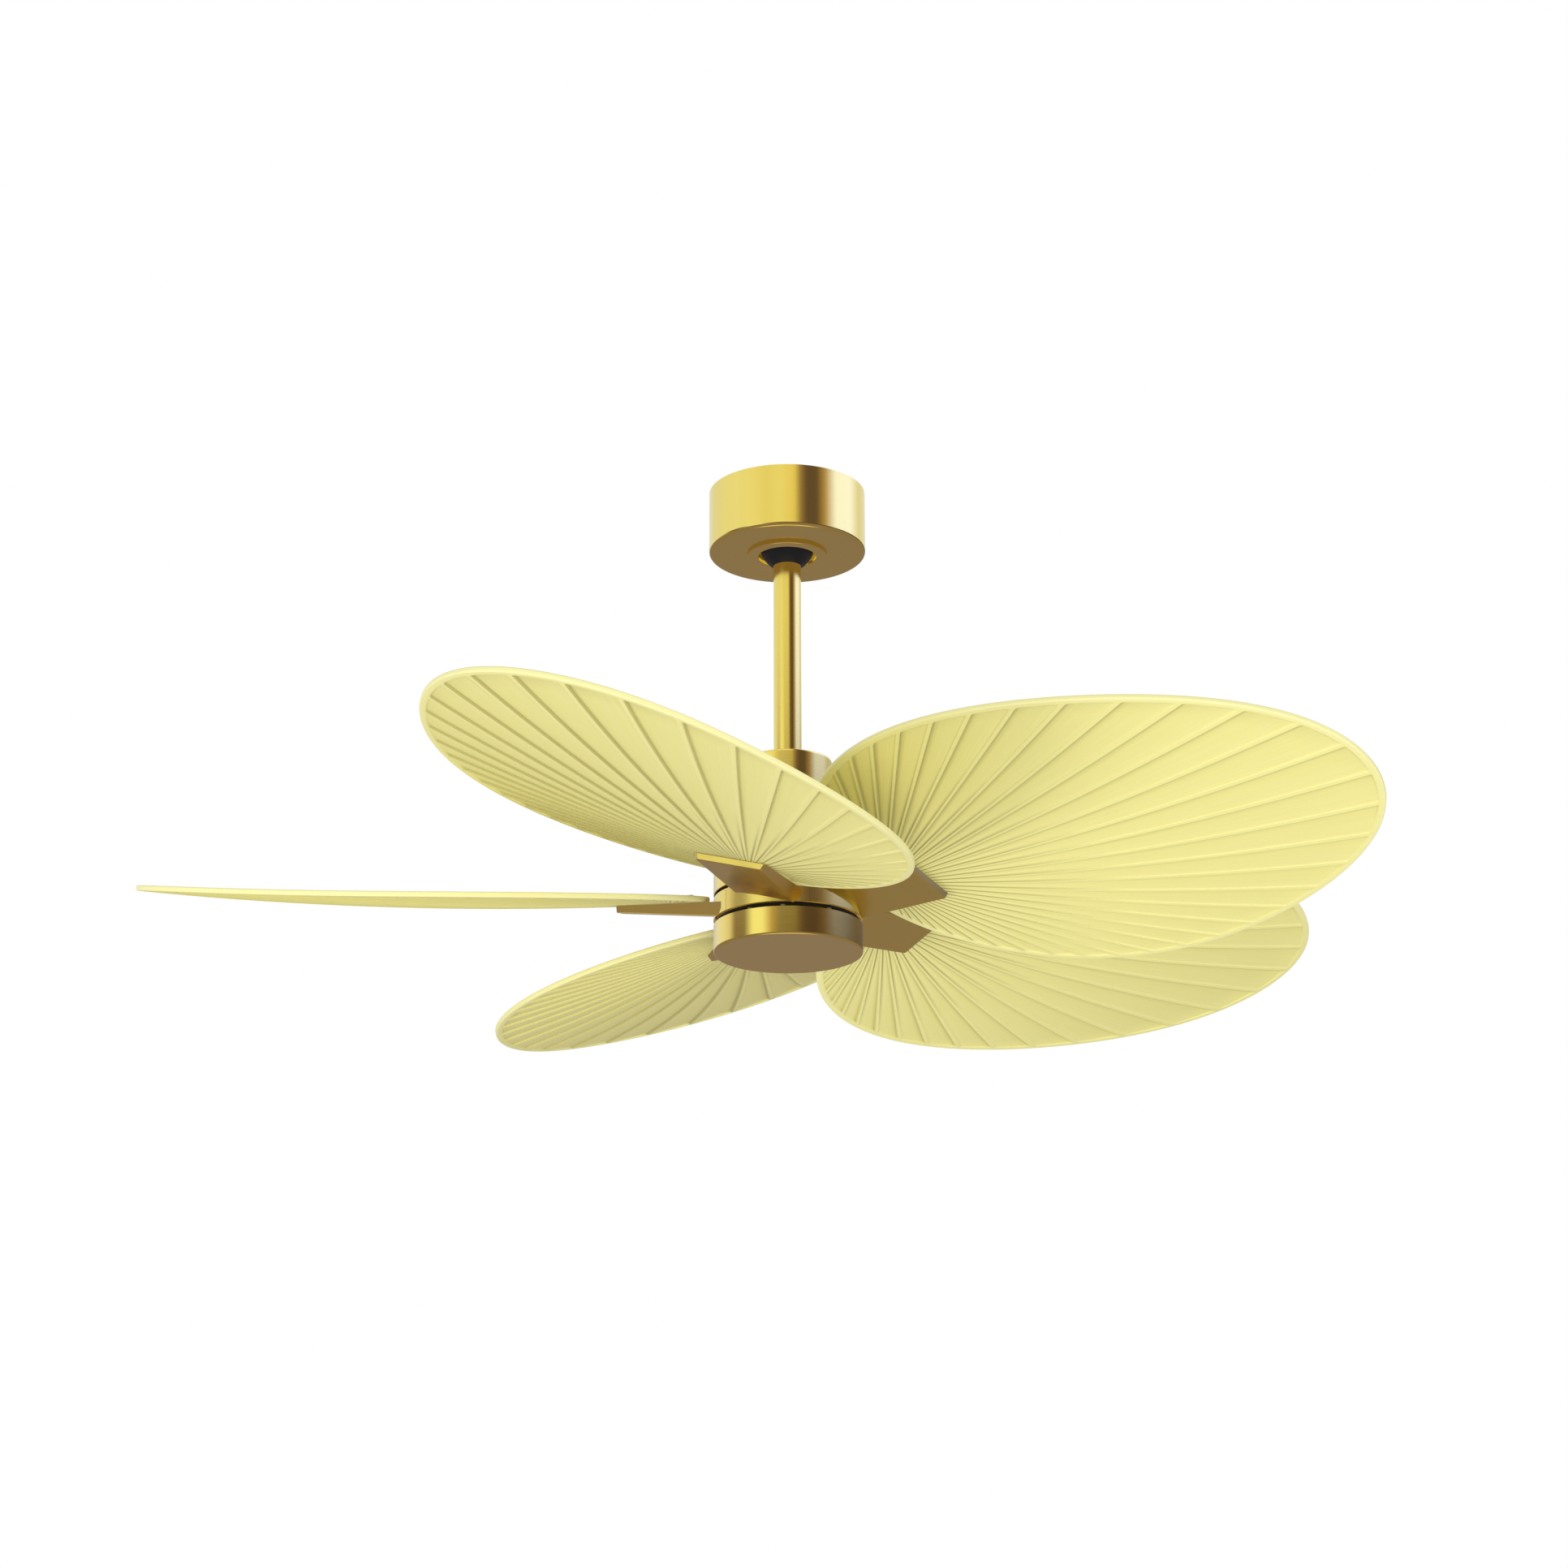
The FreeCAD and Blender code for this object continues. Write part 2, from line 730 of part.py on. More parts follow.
def rotor_magnets():
    """Magnet tiles on the inside of the motor case."""
    outer = case_inner_radius - seat_clearance
    top = stator_z + magnet_length / 2
    return Part.makeCompound([
        sector(outer, outer - magnet_thickness, top, top - magnet_length, angle, magnet_angle)
        for angle in around(magnet_count)
    ])


def across(width, start_radius, end_radius, z_top, z_bottom):
    """Block along +X, centred on Y, between two radii and two levels."""
    return Part.makeBox(
        end_radius - start_radius, width, z_top - z_bottom, Vector(start_radius, -width / 2, z_bottom)
    )


def stator_core():
    """Laminated stator: a hub on the shaft and a ring of teeth with broad tips."""
    top = stator_z + stator_height / 2
    bottom = top - stator_height
    hub_radius = stator_hub_diameter / 2
    tip_radius = stator_radius - tooth_tip_thickness
    hub = tube(hub_radius, shaft_radius + seat_clearance, top, bottom)
    tooth = across(tooth_width, hub_radius - overrun, tip_radius + tooth_tip_thickness / 2, top, bottom)
    tip = sector(stator_radius, tip_radius, top, bottom, 0, tooth_tip_angle)
    teeth = [turn(piece, angle) for angle in around(tooth_count) for piece in (tooth, tip)]
    return hub.fuse(teeth).removeSplitter()


def stator_windings():
    """One copper coil round each tooth."""
    start = stator_hub_diameter / 2 + coil_end_gap
    end = stator_radius - tooth_tip_thickness - coil_end_gap
    inner_half = stator_height / 2 + seat_clearance
    outer_half = inner_half + coil_thickness
    inner_width = tooth_width + 2 * seat_clearance
    outer_width = inner_width + 2 * coil_thickness
    outer = across(outer_width, start, end, stator_z + outer_half, stator_z - outer_half)
    corners = [e for e in outer.Edges if e.BoundBox.XLength > (end - start) / 2]
    outer = outer.makeFillet(coil_thickness, corners)
    through = (start - overrun, end + overrun)
    inner = across(inner_width, *through, stator_z + inner_half, stator_z - inner_half)
    coil = outer.cut(inner)
    return Part.makeCompound([turn(coil, angle) for angle in around(tooth_count)])


# Blades and arms


def leaf_outline(margin):
    """Closed egg-shaped curve of the leaf in its own plane, drawn in by a margin."""
    points = []
    for angle in around(outline_points):
        along = math.cos(math.radians(angle))
        fullness = leaf_base_share - leaf_egg_share * along + leaf_tip_share * along**3
        reach = (leaf_half_length - margin) * along
        side = (leaf_half_width - margin) * math.sin(math.radians(angle)) * fullness
        points.append(Vector(leaf_centre + reach, side, 0))
    curve = Part.BSplineCurve()
    curve.interpolate(Points=points, PeriodicFlag=True)
    return Part.Wire(curve.toShape())


def leaf_prism(margin):
    """The leaf outline as a tall block that the dish is cut from."""
    depth = leaf_half_length
    face = Part.Face(leaf_outline(margin))
    face.translate(Vector(0, 0, -depth / 2))
    return face.extrude(Vector(0, 0, depth))


def dish_slab(outer_radius, inner_radius):
    """Patch of a thick spherical shell under the leaf, lowest at the middle of the leaf."""
    centre = Vector(leaf_centre, 0, dish_radius)
    side = math.asin((leaf_half_width + rim_width) / inner_radius)
    length = math.degrees(math.asin((leaf_half_length + rim_width) / inner_radius))

    def spot(radius, angle):
        return centre + Vector(0, radius * math.sin(angle), -radius * math.cos(angle))

    def arc(radius, start):
        return Part.Arc(spot(radius, start), spot(radius, 0), spot(radius, -start)).toShape()

    ends = [Part.makeLine(spot(outer_radius, end), spot(inner_radius, end)) for end in (side, -side)]
    face = Part.Face(Part.Wire([arc(outer_radius, -side), ends[0], arc(inner_radius, side), ends[1]]))
    face.rotate(centre, Vector(0, 1, 0), -length)
    return face.revolve(centre, Vector(0, 1, 0), 2 * length)


def rib_pocket(index):
    """Wedge between two neighbouring ribs, which widen from the pad out past the rim."""
    step = 360.0 / ribs_per_turn
    corners = []
    for edge in (index, index + 1):
        angle = math.radians((edge - 0.5) * step)
        along = Vector(math.cos(angle), math.sin(angle), 0)
        aside = Vector(-math.sin(angle), math.cos(angle), 0) * (0.5 if edge == index else -0.5)
        middle = Vector(pad_radius, 0, -leaf_half_length / 2)
        start = middle + along * rib_start + aside * rib_start_width
        end = middle + along * blade_tip_radius + aside * rib_end_width
        corners += [start, end] if edge == index else [end, start]
    return Part.Face(Part.makePolygon(corners + corners[:1])).extrude(Vector(0, 0, leaf_half_length))


def blade_screw_places():
    """Screw points on the pad, in the pad frame."""
    half = blade_screw_spread / 2
    return [
        Vector(-blade_screw_inner_offset, -half, 0),
        Vector(-blade_screw_inner_offset, half, 0),
        Vector(blade_screw_outer_offset, 0, 0),
    ]


def blade():
    """Dished leaf with a border, raised ribs that fan out from the pad, and a flat boss for the arm."""
    plate = leaf_prism(0).common(dish_slab(dish_radius, dish_radius - blade_thickness))
    recess = leaf_prism(rim_width).common(dish_slab(dish_radius + overrun, dish_radius - rib_height))
    wedges = Part.makeCompound([rib_pocket(index) for index in range(1 - rib_pairs, rib_pairs)])
    leaf = plate.cut(recess.common(wedges))
    boss = Part.makeBox(
        boss_length, boss_width, boss_height + blade_thickness / 2,
        Vector(-boss_length / 2, -boss_width / 2, -boss_height),
    )
    holes = [
        screw_hole(blade_screw_diameter, at + up * blade_thickness, blade_thickness + boss_height)
        for at in blade_screw_places()
    ]
    leaf = leaf.fuse(placed(boss, pad_in_leaf))
    leaf = leaf.cut([placed(hole, pad_in_leaf) for hole in holes])
    return placed(leaf, leaf_frame)


def blade_screws():
    """Three screws of one blade, from above through the blade into its arm."""
    screws = []
    top_radius = dish_radius - blade_thickness
    for at in blade_screw_places():
        reach = at.Length + blade_screw_head_diameter / 2
        head = at + up * (dish_radius - math.sqrt(top_radius**2 - reach**2))
        tip = Vector(at.x, at.y, -boss_height - blade_screw_depth)
        screws.append(
            headed_screw(
                blade_screw_diameter / 2, blade_screw_head_diameter / 2, blade_screw_head_height, head, tip
            )
        )
    return [placed(screw, pad_frame) for screw in screws]


def flat_sided(upper, lower):
    """Solid between two outlines with as many corners each, joined by flat sides."""
    sides = [[upper[k - 1], upper[k], lower[k], lower[k - 1]] for k in range(len(upper))]
    faces = [Part.Face(Part.makePolygon(loop + loop[:1])) for loop in [upper, lower] + sides]
    return Part.makeSolid(Part.makeShell(faces))


def arm_plate():
    """Tapering plate of the arm in the pad frame: drafted sides, square end, upper face under the boss."""
    root = -arm_pad_offset - arm_root_inset
    tip = arm_reach - arm_pad_offset
    top = -boss_height

    def outline(root_depth, tip_depth):
        """Corners at a depth under the upper face, drawn in at the sides by the draft."""
        root_half = arm_width / 2 - arm_draft_share * root_depth
        tip_half = arm_width / 2 - arm_draft_share * tip_depth
        return [
            Vector(root, -root_half, top - root_depth),
            Vector(tip, -tip_half, top - tip_depth),
            Vector(tip, tip_half, top - tip_depth),
            Vector(root, root_half, top - root_depth),
        ]

    plate = flat_sided(outline(0, 0), outline(arm_root_thickness, arm_tip_thickness))
    at_tip = [e for e in plate.Edges if e.BoundBox.XMin > (root + tip) / 2]
    upright = [e for e in at_tip if e.BoundBox.ZLength > arm_tip_thickness / 2]
    plate = plate.makeFillet(arm_corner_radius, upright)
    low = min(plate.Faces, key=lambda f: f.CenterOfMass.z)
    lower_edges = [e for e in low.Edges if e.BoundBox.XMax > root + overrun]
    plate = plate.makeFillet(arm_edge_radius, lower_edges)
    depth = boss_height + blade_screw_depth
    return plate.cut([screw_hole(blade_screw_diameter, at, depth) for at in blade_screw_places()])


def blade_arm():
    """Cast arm: a fifth of the turning ring with the plate that carries a blade."""
    seam_angle = math.degrees(ring_seam / housing_radius)
    segment = sector(
        housing_radius, case_radius + seat_clearance, ring_top_z, ring_bottom_z, 0, blade_step - seam_angle
    )
    plate = placed(arm_plate(), pad_frame)
    reach = housing_radius + arm_standoff
    outside = plate.cut(disc(reach, ring_top_z + housing_height, cap_bottom_z))
    neck_top = ring_top_z - arm_neck_inset
    neck_bottom = ring_bottom_z + arm_neck_inset
    neck = plate.common(tube(reach + arm_standoff, case_radius + ring_depth / 2, neck_top, neck_bottom))
    arm = segment.fuse([outside, neck]).removeSplitter()
    return arm.cut(arm_screw_holes([0], ring_top_z, ring_height))


def arm_screws():
    """Screws that clamp the arms between the two halves of the motor case."""
    length = case_flange_height + ring_height + case_foot_height
    radius = arm_screw_diameter / 2
    return Part.makeCompound([
        headed_screw(radius, arm_screw_head_diameter / 2, arm_screw_head_height, at, at - up * length)
        for at in arm_screw_places(blade_angles, ring_top_z + case_flange_height)
    ])


def all_nodes():
    """Every piece of the fan by name."""
    nodes = {
        "ceiling_bracket": ceiling_bracket(),
        "receiver": receiver(),
        "canopy": canopy(),
        "canopy_ring": canopy_ring(),
        "canopy_screws": canopy_screws(),
        "hanger_pin": hanger_pin(),
        "hanger_ball": hanger_ball(),
        "hanger_set_screw": hanger_set_screw(),
        "downrod": downrod(),
        "coupling_cover": coupling_cover(),
        "motor_coupling": motor_coupling(),
        "coupling_pin": coupling_pin(),
        "coupling_cotter": coupling_cotter(),
        "coupling_set_screws": coupling_set_screws(),
        "upper_housing": upper_housing(),
        "housing_screws": housing_screws(),
        "motor_shaft": motor_shaft(),
        "stator_core": stator_core(),
        "stator_windings": stator_windings(),
        "bearing_inner_races": bearing_inner_races(),
        "bearing_outer_races": bearing_outer_races(),
        "rotor_upper_case": rotor_upper_case(),
        "rotor_lower_case": rotor_lower_case(),
        "rotor_magnets": rotor_magnets(),
        "arm_screws": arm_screws(),
        "lower_plate": lower_plate(),
        "shaft_nut": shaft_nut(),
        "bottom_cap": bottom_cap(),
    }
    arm = blade_arm()
    leaf = blade()
    screws = blade_screws()
    for number, angle in enumerate(blade_angles, 1):
        nodes[f"blade_arm_{number}"] = turn(arm, angle)
        nodes[f"blade_{number}"] = turn(leaf, angle)
    turned_screws = [turn(screw, angle) for angle in blade_angles for screw in screws]
    nodes["blade_screws"] = Part.makeCompound(turned_screws)
    return nodes


os.makedirs("parts", exist_ok=True)
for name, shape in all_nodes().items():
    shape.exportStep(f"parts/{name}.step")
    print(name, len(shape.Solids), "solids,", round(shape.Volume), "mm3, valid", shape.isValid())
print("levels: canopy floor", canopy_floor_z, "housing top", housing_top_z, "cap bottom", cap_bottom_z)
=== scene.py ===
# %% [markdown]
# # A ceiling fan with five palm-leaf blades
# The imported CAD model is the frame: it fixes where every piece is and how it moves. This lesson dresses
# it. The five leaves and the three large brass shells are made again as smooth numpy surfaces, because
# facets show most on a ribbed leaf and on shiny metal. Every other piece keeps its CAD shape and gets a
# finish.

# %% Load the frame
import math

import bpy
import numpy as np
from mathutils import Matrix, Vector


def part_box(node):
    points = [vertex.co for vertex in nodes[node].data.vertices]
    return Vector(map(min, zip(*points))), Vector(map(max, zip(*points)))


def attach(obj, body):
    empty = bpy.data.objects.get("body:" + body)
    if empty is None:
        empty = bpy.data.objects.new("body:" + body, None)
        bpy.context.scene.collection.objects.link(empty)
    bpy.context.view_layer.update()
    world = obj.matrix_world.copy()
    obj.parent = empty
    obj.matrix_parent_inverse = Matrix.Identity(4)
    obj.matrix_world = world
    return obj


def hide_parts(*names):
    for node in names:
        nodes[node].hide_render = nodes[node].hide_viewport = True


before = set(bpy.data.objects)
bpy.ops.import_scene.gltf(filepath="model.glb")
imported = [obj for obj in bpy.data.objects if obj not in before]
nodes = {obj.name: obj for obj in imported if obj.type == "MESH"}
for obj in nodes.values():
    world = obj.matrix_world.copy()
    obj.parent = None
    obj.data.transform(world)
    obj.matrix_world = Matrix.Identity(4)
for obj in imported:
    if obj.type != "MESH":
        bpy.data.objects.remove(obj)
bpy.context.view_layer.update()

scene = bpy.context.scene
scene.view_settings.view_transform = "Standard"

# %% [markdown]
# ## Camera
# The photograph looks up at the fan from about one and a half metres below the ceiling. A camera can be
# aimed by eye or by a constraint. Here its place and lens were found by matching the known shapes, so they
# are set by numbers. A camera's own axes are right, up and backwards, so the three directions are the
# columns of its matrix.

# %% Camera
CAMERA_PLACE = Vector((0.0, -3.5412, -1.4912))
CAMERA_PITCH = math.radians(18.306)
CAMERA_YAW = math.radians(-0.063)
CAMERA_ROLL = math.radians(-0.148)
LENS_MM = 83.81
SENSOR_MM = 36.0
FARTHEST_SEEN = 50.0

forward = Vector((
    math.sin(CAMERA_YAW) * math.cos(CAMERA_PITCH),
    math.cos(CAMERA_YAW) * math.cos(CAMERA_PITCH),
    math.sin(CAMERA_PITCH),
))
level_right = Vector((math.cos(CAMERA_YAW), -math.sin(CAMERA_YAW), 0.0))
level_up = level_right.cross(forward)
right = math.cos(CAMERA_ROLL) * level_right + math.sin(CAMERA_ROLL) * level_up
above = math.cos(CAMERA_ROLL) * level_up - math.sin(CAMERA_ROLL) * level_right
camera = bpy.data.objects.new("camera", bpy.data.cameras.new("camera"))
camera.data.sensor_width = SENSOR_MM
camera.data.lens = LENS_MM
camera.data.clip_end = FARTHEST_SEEN
camera_axes = Matrix((right, above, -forward)).transposed().to_4x4()
camera.matrix_world = Matrix.Translation(CAMERA_PLACE) @ camera_axes
scene.collection.objects.link(camera)
scene.camera = camera
print("camera looks along", tuple(round(x, 3) for x in forward))

# %% [markdown]
# ## Surfaces from numpy
# Every new piece is a grid of points whose neighbours are joined by four-sided faces. The same shapes could
# be drawn by hand in Edit Mode, but a formula can be read, measured and changed. The points are worked out
# as whole arrays, which is quick even for a leaf of many thousand faces. One helper joins a grid, and
# another makes it a piece that rides on a body of the frame.

# %% Faces of a grid


def grid_faces(rows, columns, closed_rows):
    """Four corners of each cell of a grid whose columns go all the way round:
    its own point, the next column, the next row and column, and the next row."""
    row = np.arange(rows if closed_rows else rows - 1)[:, None]
    column = np.arange(columns)[None, :]
    below = (row + 1) % rows
    beside = (column + 1) % columns
    corners = (
        row * columns + column,
        row * columns + beside,
        below * columns + beside,
        below * columns + column,
    )
    cells = [np.broadcast_to(corner, (row.size, column.size)) for corner in corners]
    return np.stack(cells, axis=-1).reshape(-1, 4)


print("a band of 2 rows and 4 columns has", len(grid_faces(2, 4, False)), "faces")

# %% From points to a piece
SHARP_ANGLE = math.radians(38.0)


def piece(name, points, faces, body, stands_for):
    """A mesh piece from points and faces, riding on a body in place of some CAD nodes.

    It is shaded round, except along edges that turn by more than the sharp angle."""
    mesh = bpy.data.meshes.new(name)
    mesh.from_pydata(points.reshape(-1, 3), [], faces)
    mesh.shade_smooth()
    mesh.set_sharp_from_angle(angle=SHARP_ANGLE)
    made = bpy.data.objects.new(name, mesh)
    scene.collection.objects.link(made)
    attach(made, body)
    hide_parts(*stands_for)
    print(name, "has", len(mesh.polygons), "faces")
    return made


print("edges stay sharp above", round(math.degrees(SHARP_ANGLE)), "degrees")

# %% [markdown]
# ## Palm-leaf blades
# Each blade is one plastic moulding in the shape of a fan palm leaf: an egg-shaped outline cut from a
# shallow dish, with a raised border and with folds that spread from one point over the arm. A modelled strip
# for each fold would need many joints, and a bump map would vanish at the rim. Here the whole leaf is one
# grid in polar form about the folds' common point. Its rows follow the outline and its columns follow the
# ribs between the folds, so that every rib has true sides and melts into the border.
#
# The outline comes first. It is an ellipse that is wider on the hub's side, written as one formula, and the
# border and the rounded rim follow it at a distance.

# %% Leaf outline
LEAF_HUB_END = 0.0800
LEAF_TIP_END = 0.6604
LEAF_WIDTH = 0.4554
BASE_SHARE = 0.99
EGG_SHARE = 0.17
TIP_SHARE = 0.08
RIB_ORIGIN = 0.120
OUTLINE_STEPS = 2048

leaf_middle = (LEAF_HUB_END + LEAF_TIP_END) / 2
leaf_half = (LEAF_TIP_END - LEAF_HUB_END) / 2


def outline_distance(angle, inset):
    """Distance from the ribs' origin to the leaf's outline, moved inwards by inset, at each angle.

    The outline is u = middle + half cos t, w = half width sin t (base - egg cos t + tip cos^3 t). Each of
    its points moves along the inward normal, and the result is read off by polar angle."""
    t = np.linspace(-math.pi, math.pi, OUTLINE_STEPS, endpoint=False)
    c, s = np.cos(t), np.sin(t)
    u = leaf_middle + leaf_half * c - RIB_ORIGIN
    w = LEAF_WIDTH / 2 * s * (BASE_SHARE - EGG_SHARE * c + TIP_SHARE * c**3)
    du = np.roll(u, -1) - np.roll(u, 1)
    dw = np.roll(w, -1) - np.roll(w, 1)
    length = np.hypot(du, dw)
    u = u - inset * dw / length
    w = w + inset * du / length
    return np.interp(angle, np.arctan2(w, u), np.hypot(u, w), period=2 * math.pi)


print("leaf reaches", round(float(outline_distance(np.zeros(1), 0.0)[0]), 4), "m from the ribs' origin")

# %% [markdown]
# ## Ribs and folds
# On the real leaf a rib stands between two folds. It is a few millimetres wide, widest towards the tip, and
# very narrow where the ribs crowd together over the arm. Evenly spaced columns would cut across it, so
# each rib gets its own columns, crowded at its two feet where the sides drop, and each fold gets a few
# columns between the ribs. A column bends slightly, because a rib's width isn't a fixed angle.

# %% Columns along the ribs
RIBS_PER_TURN = 66
RIB_HALF_AT_HUB = 0.0014
RIB_HALF_AT_TIP = 0.0044
CROWD_SHARE = 0.24
# Shares of a rib's half width from foot to foot, and shares of the way from one rib to the next
RIB_STOPS = np.array([-1.0, -0.92, -0.84, -0.76, -0.3, 0.1, 0.3, 0.5, 0.72, 0.79, 0.86, 0.93, 1.0])
FOLD_STOPS = np.array([0.03, 0.1, 0.25, 0.5, 0.75, 0.92])

rib_step = 2 * math.pi / RIBS_PER_TURN
rib = np.repeat(np.arange(RIBS_PER_TURN) - RIBS_PER_TURN // 2, RIB_STOPS.size + FOLD_STOPS.size)
foot_share = np.tile(np.concatenate([RIB_STOPS, 1 - 2 * FOLD_STOPS]), RIBS_PER_TURN)
step_share = np.tile(np.concatenate([0 * RIB_STOPS, FOLD_STOPS]), RIBS_PER_TURN)


def rib_half(distance):
    """Half width of a rib: it widens evenly with distance, and is at most a share of the ribs' spacing."""
    even = RIB_HALF_AT_HUB + (RIB_HALF_AT_TIP - RIB_HALF_AT_HUB) * distance / LEAF_TIP_END
    return np.minimum(even, CROWD_SHARE * rib_step * distance)


def column_angle(distance):
    """Polar angle of each column: the rib's angle + a share of its half width + a share of the step."""
    return (rib + 0.5) * rib_step + foot_share * rib_half(distance) / distance + step_share * rib_step


print("leaf columns:", rib.size)

# %% [markdown]
# ## Depth across the folds
# A fold isn't a plain groove. It is deep beside one rib and slopes up to a low kerb at the next, so that the
# folds overlap like roof tiles. A groove of one depth would be simpler, but then all ribs would look the same
# from both sides. So the depth falls from full to about a third across each fold, and both sides of a rib
# end in a soft step. Round the hub's end the leaf has no folds and stays level.

# %% Depth of each column
FOLDS_EACH_SIDE = 20
SIDE_SHARE = 0.28
FOLD_END_SHARE = 0.35


def smooth(x):
    """The soft step 3x^2 - 2x^3 from 0 to 1."""
    x = np.clip(x, 0.0, 1.0)
    return x * x * (3 - 2 * x)


in_fold = step_share > 0
fold_number = rib + ((foot_share > 0) | in_fold)
folded = np.abs(fold_number) <= FOLDS_EACH_SIDE
deep_wall = smooth((foot_share - 1 + SIDE_SHARE) / SIDE_SHARE)
kerb = FOLD_END_SHARE * smooth((-foot_share - 1 + SIDE_SHARE) / SIDE_SHARE)
slope = 1 - (1 - FOLD_END_SHARE) * step_share
depth_share = np.where(in_fold, slope, deep_wall + kerb) * folded
print("folds:", 2 * FOLDS_EACH_SIDE + 1, "folded columns:", int(folded.sum()))

# %% [markdown]
# ## Rows from the underside to the top
# A row is a closed line round the leaf. The rows start at the ribs' origin on the underside, ramp into
# the folds, climb out of them at the border, go round the rim's two small arcs, and come back over the top
# side, where the folds show only faintly. Rows could be cut in later with a loop tool. Listing them here
# puts each one exactly where the section bends.

# %% Where the folds start and end
RIM_WIDTH = 0.006
RAMP = 0.0024
RIB_START = 0.040
LEAST_FOLD = 0.004
CORRECTIONS = 3


def inset_row(inset):
    """Distance of each column where it meets the outline moved in by inset, found by a few corrections."""
    distance = np.full(rib.size, LEAF_WIDTH / 2)
    for correction in range(CORRECTIONS):
        distance = outline_distance(column_angle(distance), inset)
    return distance


fold_end = inset_row(RIM_WIDTH + RAMP)
fold_start = np.minimum(RIB_START, fold_end - LEAST_FOLD)
ramp_end = fold_start + np.minimum(RAMP, (fold_end - fold_start) / 2)
print("longest fold:", round(float((fold_end - fold_start).max()) * 1000), "mm")

# %% Rows of the underside
HUB_STOPS = np.linspace(0.05, 1.0, 5)
RAMP_STOPS = np.linspace(0.0, 1.0, 6)
LENGTH_STOPS = np.linspace(0.0, 1.0, 18)
BORDER_STOPS = (0.75, 0.5, 0.3)
BORDER_FACE = 0.5

# Each row: distance of every column, share of the folds' depth, height above the underside, share of border
leaf_rows = [(fold_start * q, 0.0, 0.0, 0.0) for q in HUB_STOPS]
leaf_rows += [(fold_start + (ramp_end - fold_start) * q, smooth(q), 0.0, 0.0) for q in RAMP_STOPS[1:]]
leaf_rows += [(ramp_end + (fold_end - ramp_end) * q, 1.0, 0.0, 0.0) for q in LENGTH_STOPS[1:]]
leaf_rows += [(inset_row(RIM_WIDTH + RAMP * q), smooth(q), 0.0, 0.0) for q in RAMP_STOPS[-2::-1]]
leaf_rows += [(inset_row(RIM_WIDTH * q), 0.0, 0.0, BORDER_FACE) for q in BORDER_STOPS]
print("rows on the underside:", len(leaf_rows))

# %% Rows of the rim and the top side
LEAF_THICKNESS = 0.0053
EDGE_ROUND = 0.0016
ARC_STOPS = np.linspace(0.0, math.pi / 2, 6)
TOP_SHARE = 0.25
TOP_BORDER_STOPS = (0.3, 0.6)
TOP_RAMP_STOPS = (0.0, 0.3, 0.6, 1.0)
TOP_LENGTH_STOPS = np.linspace(1.0, 0.0, 12)
TOP_HUB_STOPS = (1.0, 0.6, 0.3, 0.05)

arc = list(zip(EDGE_ROUND * (1 - np.sin(ARC_STOPS)), EDGE_ROUND * (1 - np.cos(ARC_STOPS))))
leaf_rows += [(inset_row(inset), 0.0, rise, 1.0) for inset, rise in arc]
leaf_rows += [(inset_row(inset), 0.0, LEAF_THICKNESS - drop, 1.0) for inset, drop in arc[::-1]]
leaf_rows += [(inset_row(RIM_WIDTH * q), 0.0, LEAF_THICKNESS, BORDER_FACE) for q in TOP_BORDER_STOPS]
top_start = inset_row(RIM_WIDTH)
leaf_rows += [
    (top_start + (fold_end - top_start) * q, -TOP_SHARE * smooth(q), LEAF_THICKNESS, 0.0)
    for q in TOP_RAMP_STOPS
]
leaf_rows += [
    (fold_start + (fold_end - fold_start) * q, -TOP_SHARE, LEAF_THICKNESS, 0.0)
    for q in TOP_LENGTH_STOPS[1:-1]
]
leaf_rows += [(fold_start * q, 0.0, LEAF_THICKNESS, 0.0) for q in TOP_HUB_STOPS]
print("leaf rows:", len(leaf_rows))

# %% [markdown]
# ## The dished leaf
# Rows and columns give a flat pattern with a height at each point. The real leaf is a shallow dish, whose
# border stands a little higher than its middle. So the pattern is laid inside a large sphere, and heights
# count from the sphere. Bending it with a modifier would work too, but the formula keeps the thickness
# true. One many-sided face closes the middle of the underside and one the middle of the top, so that the
# leaf is a closed body.

# %% Leaf grid in its own frame
FOLD_DEPTH = 0.0020
FULL_DEPTH_AT = 0.22
LEAST_DEPTH_SHARE = 0.15
DISH_RADIUS = 3.7

distance = np.stack([row[0] for row in leaf_rows])
fold_share = np.array([[row[1]] for row in leaf_rows])
row_height = np.array([[row[2]] for row in leaf_rows])
depth = FOLD_DEPTH * np.clip(distance / FULL_DEPTH_AT, LEAST_DEPTH_SHARE, 1.0) * depth_share
level = fold_share * depth + row_height


def leaf_grid():
    """Points of a leaf: u and w from the polar grid, z on a sphere about (middle, 0, dish radius).

    z = R - sqrt((R - level)^2 - (u - middle)^2 - w^2), where level is the height above the sphere."""
    angle = column_angle(distance)
    u = RIB_ORIGIN + distance * np.cos(angle)
    w = distance * np.sin(angle)
    z = DISH_RADIUS - np.sqrt((DISH_RADIUS - level) ** 2 - (u - leaf_middle) ** 2 - w**2)
    return np.stack([u, w, z], axis=-1)


leaf_points = leaf_grid()
leaf_faces = grid_faces(len(leaf_rows), rib.size, False).tolist()
leaf_faces.append(list(range(rib.size))[::-1])
leaf_faces.append(list(range((len(leaf_rows) - 1) * rib.size, len(leaf_rows) * rib.size)))
print("leaf is", (np.ptp(leaf_points, axis=(0, 1)) * 1000).round(1), "mm")

